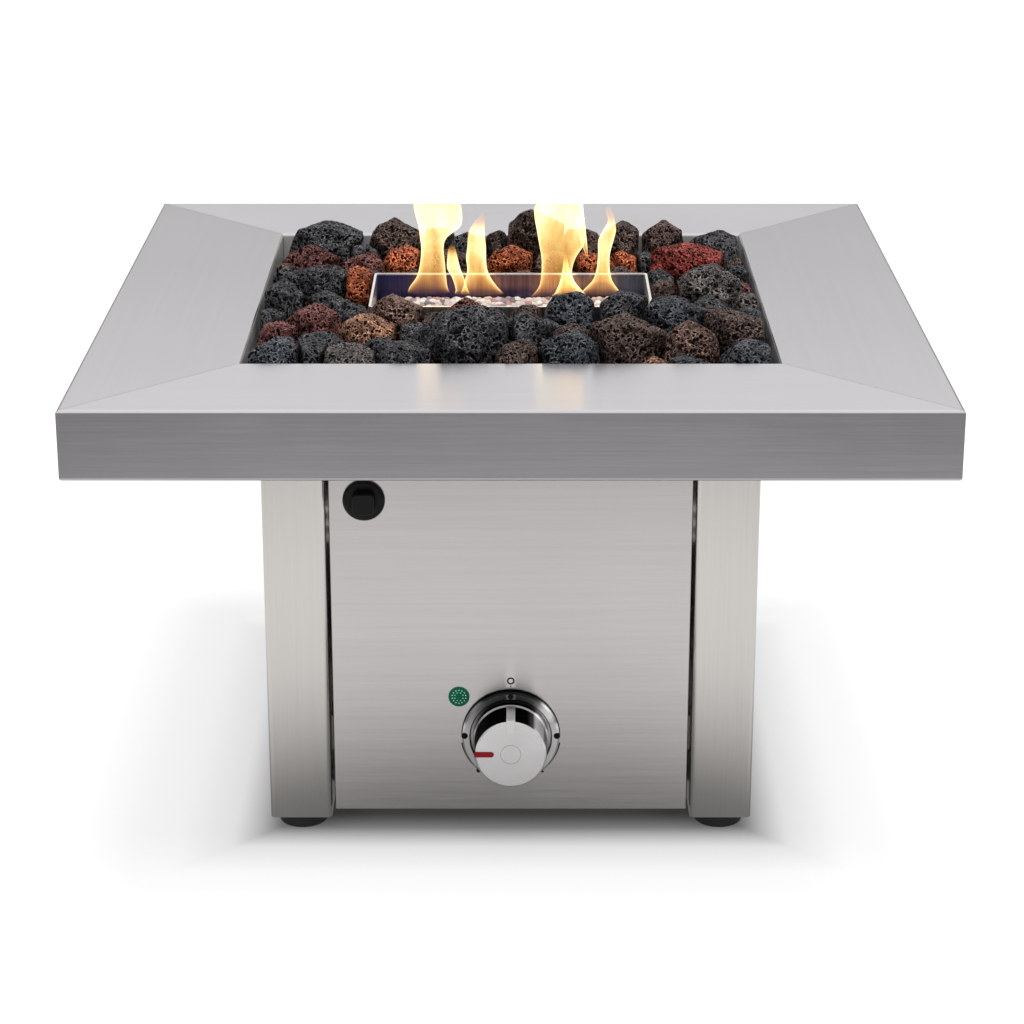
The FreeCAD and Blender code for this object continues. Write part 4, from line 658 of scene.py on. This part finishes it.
def finish_nodes():
    steel, post, panel = (0.55, 0.534, 0.549), (0.562, 0.540, 0.518), (0.60, 0.574, 0.567)
    opening = -TOP_HIGH.y + 0.002
    # the value 0.76 paints the rails' upright faces darker, a painted shade
    along_x = brushed_steel("top_steel_x", steel, 0.22, "X", upright_painted_shade=0.76, lip=opening)
    # the rails along Y are the same steel as those along X, painted about 7 percent darker as shade
    along_y = brushed_steel("top_steel_y", (0.515, 0.50, 0.514), 0.22, "Y", upright_painted_shade=0.76, lip=opening)
    upright = brushed_steel("post_steel_upright", post, 0.24, "Z", lines_by=0.022)
    panel_x = brushed_steel("panel_steel_x", panel, 0.24, "X", lines_by=0.042)
    panel_y = brushed_steel("panel_steel_y", panel, 0.24, "Y", lines_by=0.042)
    inner = plain_metal("inner_steel_mill", (0.46, 0.465, 0.47), 0.42)
    zinc = plain_metal("zinc_plated", (0.60, 0.60, 0.57), 0.34, 0.08, 300.0)
    tray = tray_steel()
    looks = {
        "top_rail_front": along_x, "top_rail_rear": along_x, "top_rail_left": along_y,
        "top_rail_right": along_y, "front_panel": panel_x, "rear_panel": panel_x,
        "left_panel": panel_y, "right_panel": panel_y,
        "burner_tray": tray, "burner_tube": tray, "media_screen": tray,
        "fire_bowl": plain_metal("bowl_steel", (0.44, 0.44, 0.43), 0.44),
        "rock_grate": moulded("heat_paint", (0.032, 0.031, 0.030), 0.72, 0.0, 500.0, 0.00005),
        "injector": plain_metal("brass_turned", (0.70, 0.50, 0.20), 0.30),
        "gas_valve": plain_metal("cast_aluminium", (0.62, 0.62, 0.63), 0.48, 0.1, 260.0, 0.00008),
        "electrode": moulded("white_ceramic", (0.80, 0.79, 0.75), 0.5),
        "ignition_lead": moulded("lead_silicone", (0.36, 0.05, 0.03), 0.55),
        "foot_pad_front_left": moulded("foot_plastic", (0.018, 0.018, 0.019), 0.55, 0.0, 700.0, 0.00006),
        "bezel_dots": moulded("black_plastic", (0.008, 0.008, 0.009), 0.5, gloss=0.08),
        "igniter_housing": moulded("gloss_black", (0.008, 0.008, 0.0085), 0.34, gloss=0.14),
        "knob_red_mark": moulded("red_enamel", (0.26, 0.006, 0.012), 0.5, gloss=0.12),
        "round_badge": moulded("green_print", (0.004, 0.140, 0.078), 0.6, gloss=0.08),
        # the tuple of three values paints light on the round faces: painted shade at the top, painted brightness at
        # the sides, a painted highlight up to the right
        "knob_bezel": turned_steel("bezel_turned", (0.60, 0.59, 0.585), 0.24, DIAL, 0.9, (0.04, 1.05, 0.9), 1.25),
        "control_knob": turned_steel("knob_turned", (0.775, 0.76, 0.755), 0.30, DIAL, 0.9, (0.012, 0.08, 1.3), 0.98),
        "knob_pointer": plain_metal("pointer_bright", (0.80, 0.79, 0.78), 0.45, 0.03, 400.0, 0.00001),
    }
    same = {
        "inlet_fitting": "injector", "thermocouple": "injector",
        "valve_plunger": "injector", "outlet_pipe": "gas_valve", "inlet_pipe": "gas_valve",
        "igniter_button": "igniter_housing",
    }
    for corner in ("front_left", "front_right", "rear_left", "rear_right"):
        looks["post_" + corner] = upright
        looks["foot_pad_" + corner] = looks["foot_pad_front_left"]
        looks["foot_stud_" + corner] = zinc
    for node in ("corner_gussets", "top_bearers", "deck_plate", "post_plates", "panel_cleats",
                 "base_plate", "injector_bracket", "valve_bracket"):
        looks[node] = inner
    for node in ("bearer_fixings", "deck_bolts", "tray_fixings", "return_springs", "valve_stem"):
        looks[node] = zinc
    for node, other in same.items():
        looks[node] = looks[other]
    for node, obj in NODES.items():
        if node in looks:
            for held in obj.material_slots:
                held.material = looks[node]
    return looks


# ---- flames -------------------------------------------------------------------------------------

FLAME_Y = 0.040          # the flames rise along the rear of the tray

# each flame as rows of height, left edge and right edge, in millimetres, from its root to its tip
FLAMES = {
    "flame_left": [
        (392, -88, -52), (397, -86, -54), (406, -80, -55), (418, -77, -56), (431, -76, -57), (440, -77, -54),
        (449, -78, -43), (457, -80, -41), (468, -82, -42), (475, -78, -43), (482, -67, -46), (488, -59, -52)],
    "flame_left_low": [
        (391, -48, -35), (395, -47, -37), (405, -50, -40), (413, -54, -43), (422, -54, -45), (430, -53, -47),
        (434, -51, -48)],
    "flame_left_side": [
        (391, -43, -6), (395, -41, -10), (403, -39, -16), (412, -37, -20), (422, -38, -21), (431, -37, -21),
        (443, -36, -22), (450, -33, -22), (456, -29, -22), (463, -24, -21)],
    "flame_right": [
        (388, 17, 62), (397, 24, 56), (409, 26, 52), (422, 26, 55), (434, 24, 62), (446, 22, 63),
        (457, 20, 62), (466, 20, 61), (472, 25, 61), (484, 36, 61), (498, 39, 63), (511, 44, 63), (523, 48, 56)],
    "flame_right_inner": [
        (389, 35, 65), (392, 38, 62), (402, 42, 54), (412, 44, 50), (422, 45, 48), (431, 46, 47)],
    "flame_right_side": [
        (391, 59, 95), (395, 63, 91), (403, 70, 86), (413, 73, 84), (425, 74, 84), (437, 74, 87),
        (446, 78, 89), (454, 82, 88), (462, 80, 86), (468, 80, 83)],
    "flame_right_droop": [
        (423, 64, 65), (429, 62, 65), (440, 58, 64), (456, 56, 62), (466, 57, 60)],
}


def flame_material():
    """Hot gas that adds its light to what is behind it: bright rims low down, a full glow above, a faint tip."""
    s = Shader("flame_glow")
    place = s.place()
    height = s.add("Attribute", attribute_name="flame_height").outputs["Fac"]
    rim = s.add("LayerWeight", {"Blend": 0.5}).outputs["Facing"]
    wisp = s.noise(s.stretched(place, (120, 120, 34)), 1.0, 2.0, 0.5)
    edge = s.span(rim, 0.70, 1.0, 1.0, 0.0)
    rim_glow = s.maths("MULTIPLY", s.maths("MULTIPLY", s.maths("POWER", rim, 1.5), edge), 1.5)
    body = s.ramp(height, [(0.0, 0.0), (0.12, 0.16), (0.28, 0.42), (0.5, 0.72), (0.70, 0.62), (0.82, 0.16),
                           (1.0, 0.0)])
    rim_fade = s.ramp(height, [(0.0, 0.1), (0.08, 0.8), (0.4, 0.9), (0.75, 0.35), (0.9, 0.0)])
    body = s.maths("MULTIPLY", body, s.span(wisp, 0.35, 0.65, 0.72, 1.2))
    body = s.maths("MULTIPLY", body, s.span(rim, 0.35, 1.0, 1.0, 0.0))
    glow = s.maths("ADD", s.maths("MULTIPLY", rim_glow, rim_fade), body)
    colour = s.ramp(glow, [(0.0, (1.0, 0.30, 0.05)), (0.25, (1.0, 0.46, 0.10)), (0.6, (1.0, 0.68, 0.24)),
                           (0.9, (1.0, 0.84, 0.46))])
    light = s.add("Emission", {"Color": colour, "Strength": s.maths("MULTIPLY", glow, 0.92)})
    haze = s.ramp(height, [(0.0, (1, 1, 1)), (0.3, (0.98, 0.93, 0.80)), (0.7, (1, 0.97, 0.88)),
                          (0.88, (1, 0.985, 0.94)), (1.0, (1, 1, 1))])
    haze = s.mix(edge, (1, 1, 1, 1), haze)
    clear = s.add("BsdfTransparent", {"Color": haze})
    join = s.add("AddShader", {0: clear.outputs[0], 1: light.outputs[0]})
    s.tree.links.new(join.outputs[0], s.out.inputs[0])
    return s.material


def smooth_rows(rows, steps):
    """The rows of a flame, drawn out into a smooth run."""
    made = []
    for i in range(steps + 1):
        t = i / steps * (len(rows) - 1)
        k = min(int(t), len(rows) - 2)
        f = t - k
        around = [rows[max(k - 1, 0)], rows[k], rows[k + 1], rows[min(k + 2, len(rows) - 1)]]
        made.append([0.5 * (2 * b + (c - a) * f + (2 * a - 5 * b + 4 * c - d) * f * f
                            + (3 * b - a - 3 * c + d) * f ** 3) for a, b, c, d in zip(*around)])
    return made


def flame(name, rows, finish, steps=60, around=40):
    """One tongue: a hollow column whose sides follow its rows."""
    points, heights, faces = [], [], []
    for i, (z, left, right) in enumerate(smooth_rows(rows, steps)):
        middle, half = (left + right) / 2000, max(right - left, 0.4) / 2000
        deep = min(half * 0.8, 0.009)
        for k in range(around):
            a = 2 * math.pi * k / around
            points.append((middle + math.cos(a) * half, FLAME_Y + math.sin(a) * deep, z / 1000))
            heights.append(i / steps)
    for i in range(steps):
        for k in range(around):
            n = (k + 1) % around
            faces.append((i * around + k, i * around + n, (i + 1) * around + n, (i + 1) * around + k))
    mesh = bpy.data.meshes.new(name)
    mesh.from_pydata(points, [], faces)
    mesh.polygons.foreach_set("use_smooth", [True] * len(mesh.polygons))
    mesh.attributes.new("flame_height", "FLOAT", "POINT").data.foreach_set("value", heights)
    mesh.materials.append(finish)
    obj = bpy.data.objects.new(name, mesh)
    bpy.context.collection.objects.link(obj)
    obj.visible_shadow = False


def flames():
    """Tongues of flame over the pebbles. They show the fire, and aren't part of the object."""
    finish = flame_material()
    for name, rows in FLAMES.items():
        flame(name, rows, finish)


# ---- studio -------------------------------------------------------------------------------------

def studio_floor():
    """A wide white floor that keeps soft shadows, with a painted shadow under and round the table for the camera.
    Metal sees it with painted shade near the table and far off.
    """
    s = Shader("studio_floor")
    place = s.place()
    flat = s.vector("MULTIPLY", place, (1, 1, 0))
    away = s.add("VectorMath", {0: flat}, operation="LENGTH").outputs["Value"]
    path = s.add("LightPath")
    paper = s.noise(place, 40.0, 2.0, 0.5)
    base = s.ramp(paper, [(0.3, 0.87), (0.7, 0.89)])
    diffuse = s.add("BsdfDiffuse", {"Color": base})
    parts = s.add("SeparateXYZ", {0: place})
    across = s.maths("MAXIMUM", s.maths("ABSOLUTE", parts.outputs[0]), s.maths("ABSOLUTE", parts.outputs[1]))
    # white glow for the camera, cut back under and round the table: a painted shadow there
    white_glow_with_painted_shadow = s.add("Emission", {"Color": (1, 1, 1, 1), "Strength": s.ramp(across, [(0.0, 0.015), (0.165, 0.015), (0.19, 0.10), (0.225, 0.60), (0.27, 0.76), (0.36, 0.84), (0.5, 0.86)])})
    ground = s.add("BsdfDiffuse", {"Color": s.ramp(s.span(across, 0.165, 0.30, 0, 1), [(0.0, 0.40), (1.0, 0.20)])})
    shown = s.add("AddShader", {0: ground.outputs[0], 1: white_glow_with_painted_shadow.outputs[0]})
    # how metal sees the floor: painted shade near the table, bright further out, darker far off
    seen = s.ramp(s.maths("MULTIPLY", away, 0.25), [
        (0.0, 0.12), (0.055, 0.19), (0.08, 0.31), (0.112, 0.76), (0.142, 1.05), (0.20, 1.12),
        (0.30, 1.0), (0.325, 0.72), (0.355, 0.38), (0.372, 0.34), (0.395, 0.22), (0.5, 0.22), (1.0, 0.32)])
    mirrored = s.add("Emission", {"Color": seen, "Strength": 1.0})
    for_camera = s.add("MixShader", {0: path.outputs["Is Camera Ray"], 1: diffuse.outputs[0],
                                     2: shown.outputs[0]})
    both = s.add("MixShader", {0: path.outputs["Is Glossy Ray"], 1: for_camera.outputs[0],
                               2: mirrored.outputs[0]})
    s.tree.links.new(both.outputs[0], s.out.inputs[0])
    bpy.ops.mesh.primitive_circle_add(vertices=96, radius=14.0, fill_type="NGON")
    floor = bpy.context.object
    floor.name = "studio_floor"
    floor.data.materials.append(s.material)


def studio_world():
    """White for the camera, an even sky for lighting, and a graded one for metal to mirror."""
    world = bpy.data.worlds.new("studio")
    bpy.context.scene.world = world
    world.use_nodes = True
    t = world.node_tree
    t.nodes.clear()
    out = t.nodes.new("ShaderNodeOutputWorld")
    coords = t.nodes.new("ShaderNodeTexCoord")
    split = t.nodes.new("ShaderNodeSeparateXYZ")
    t.links.new(coords.outputs["Generated"], split.inputs[0])

    def graded(stops):
        ramp = t.nodes.new("ShaderNodeValToRGB")
        t.links.new(split.outputs[2], ramp.inputs[0])
        while len(ramp.color_ramp.elements) < len(stops):
            ramp.color_ramp.elements.new(0.5)
        for element, (place, value) in zip(ramp.color_ramp.elements, stops):
            element.position = place
            element.color = (value, value, value, 1)
        back = t.nodes.new("ShaderNodeBackground")
        t.links.new(ramp.outputs[0], back.inputs[0])
        return back

    lighting = graded([(0.0, 0.12), (0.35, 0.22), (0.7, 0.62), (1.0, 0.95)])
    mirrored = graded([(0.0, 0.32), (0.09, 0.36), (0.17, 0.60), (0.235, 0.70), (0.27, 0.85), (0.31, 1.12), (0.36, 1.30), (0.6, 1.36), (1.0, 1.26)])
    white = t.nodes.new("ShaderNodeBackground")
    white.inputs[0].default_value = (1, 1, 1, 1)
    path = t.nodes.new("ShaderNodeLightPath")
    first, second = t.nodes.new("ShaderNodeMixShader"), t.nodes.new("ShaderNodeMixShader")
    t.links.new(path.outputs["Is Glossy Ray"], first.inputs[0])
    t.links.new(lighting.outputs[0], first.inputs[1])
    t.links.new(mirrored.outputs[0], first.inputs[2])
    t.links.new(path.outputs["Is Camera Ray"], second.inputs[0])
    t.links.new(first.outputs[0], second.inputs[1])
    t.links.new(white.outputs[0], second.inputs[2])
    t.links.new(second.outputs[0], out.inputs[0])


def softbox(name, place, target, size, power):
    lamp = bpy.data.lights.new(name, "AREA")
    lamp.shape = "RECTANGLE"
    lamp.size, lamp.size_y = size
    lamp.energy = power
    obj = bpy.data.objects.new(name, lamp)
    bpy.context.collection.objects.link(obj)
    obj.location = place
    obj.rotation_euler = (Vector(target) - Vector(place)).to_track_quat("-Z", "Y").to_euler()
    obj.visible_glossy = False


def soft_sun(name, towards, width, power):
    """A broad even overhead light, its width in degrees."""
    lamp = bpy.data.lights.new(name, "SUN")
    lamp.angle = math.radians(width)
    lamp.energy = power
    obj = bpy.data.objects.new(name, lamp)
    bpy.context.collection.objects.link(obj)
    obj.rotation_euler = Vector(towards).to_track_quat("Z", "Y").to_euler()
    obj.visible_glossy = False


def camera():
    lens = bpy.data.cameras.new("camera")
    lens.sensor_width = 36.0
    lens.lens = 96.47
    obj = bpy.data.objects.new("camera", lens)
    bpy.context.collection.objects.link(obj)
    obj.location = (0.001, -2.2272, 0.9968)
    obj.rotation_euler = (math.radians(90 - 19.516), 0, 0)
    bpy.context.scene.camera = obj


# ---- everything in order ------------------------------------------------------------------------

camera()
looks = finish_nodes()
lava_rocks()
pebbles()
ink_and_painted_shadow = looks["bezel_dots"]
dial_marks_and_painted_shadow(ink_and_painted_shadow)
badge_ring(moulded("badge_dots_pale", (0.60, 0.85, 0.72), 0.6, gloss=0.1))
knob_ring(moulded("engraved_line", (0.20, 0.20, 0.20), 0.5))
flames()
studio_floor()
studio_world()
soft_sun("overhead", (0.10, -0.12, 1.0), 30, 2.8)
softbox("front_left", (-1.9, -1.9, 1.9), (0, 0, 0.3), (2.4, 2.4), 8.0)
bpy.context.scene.view_settings.view_transform = "Standard"
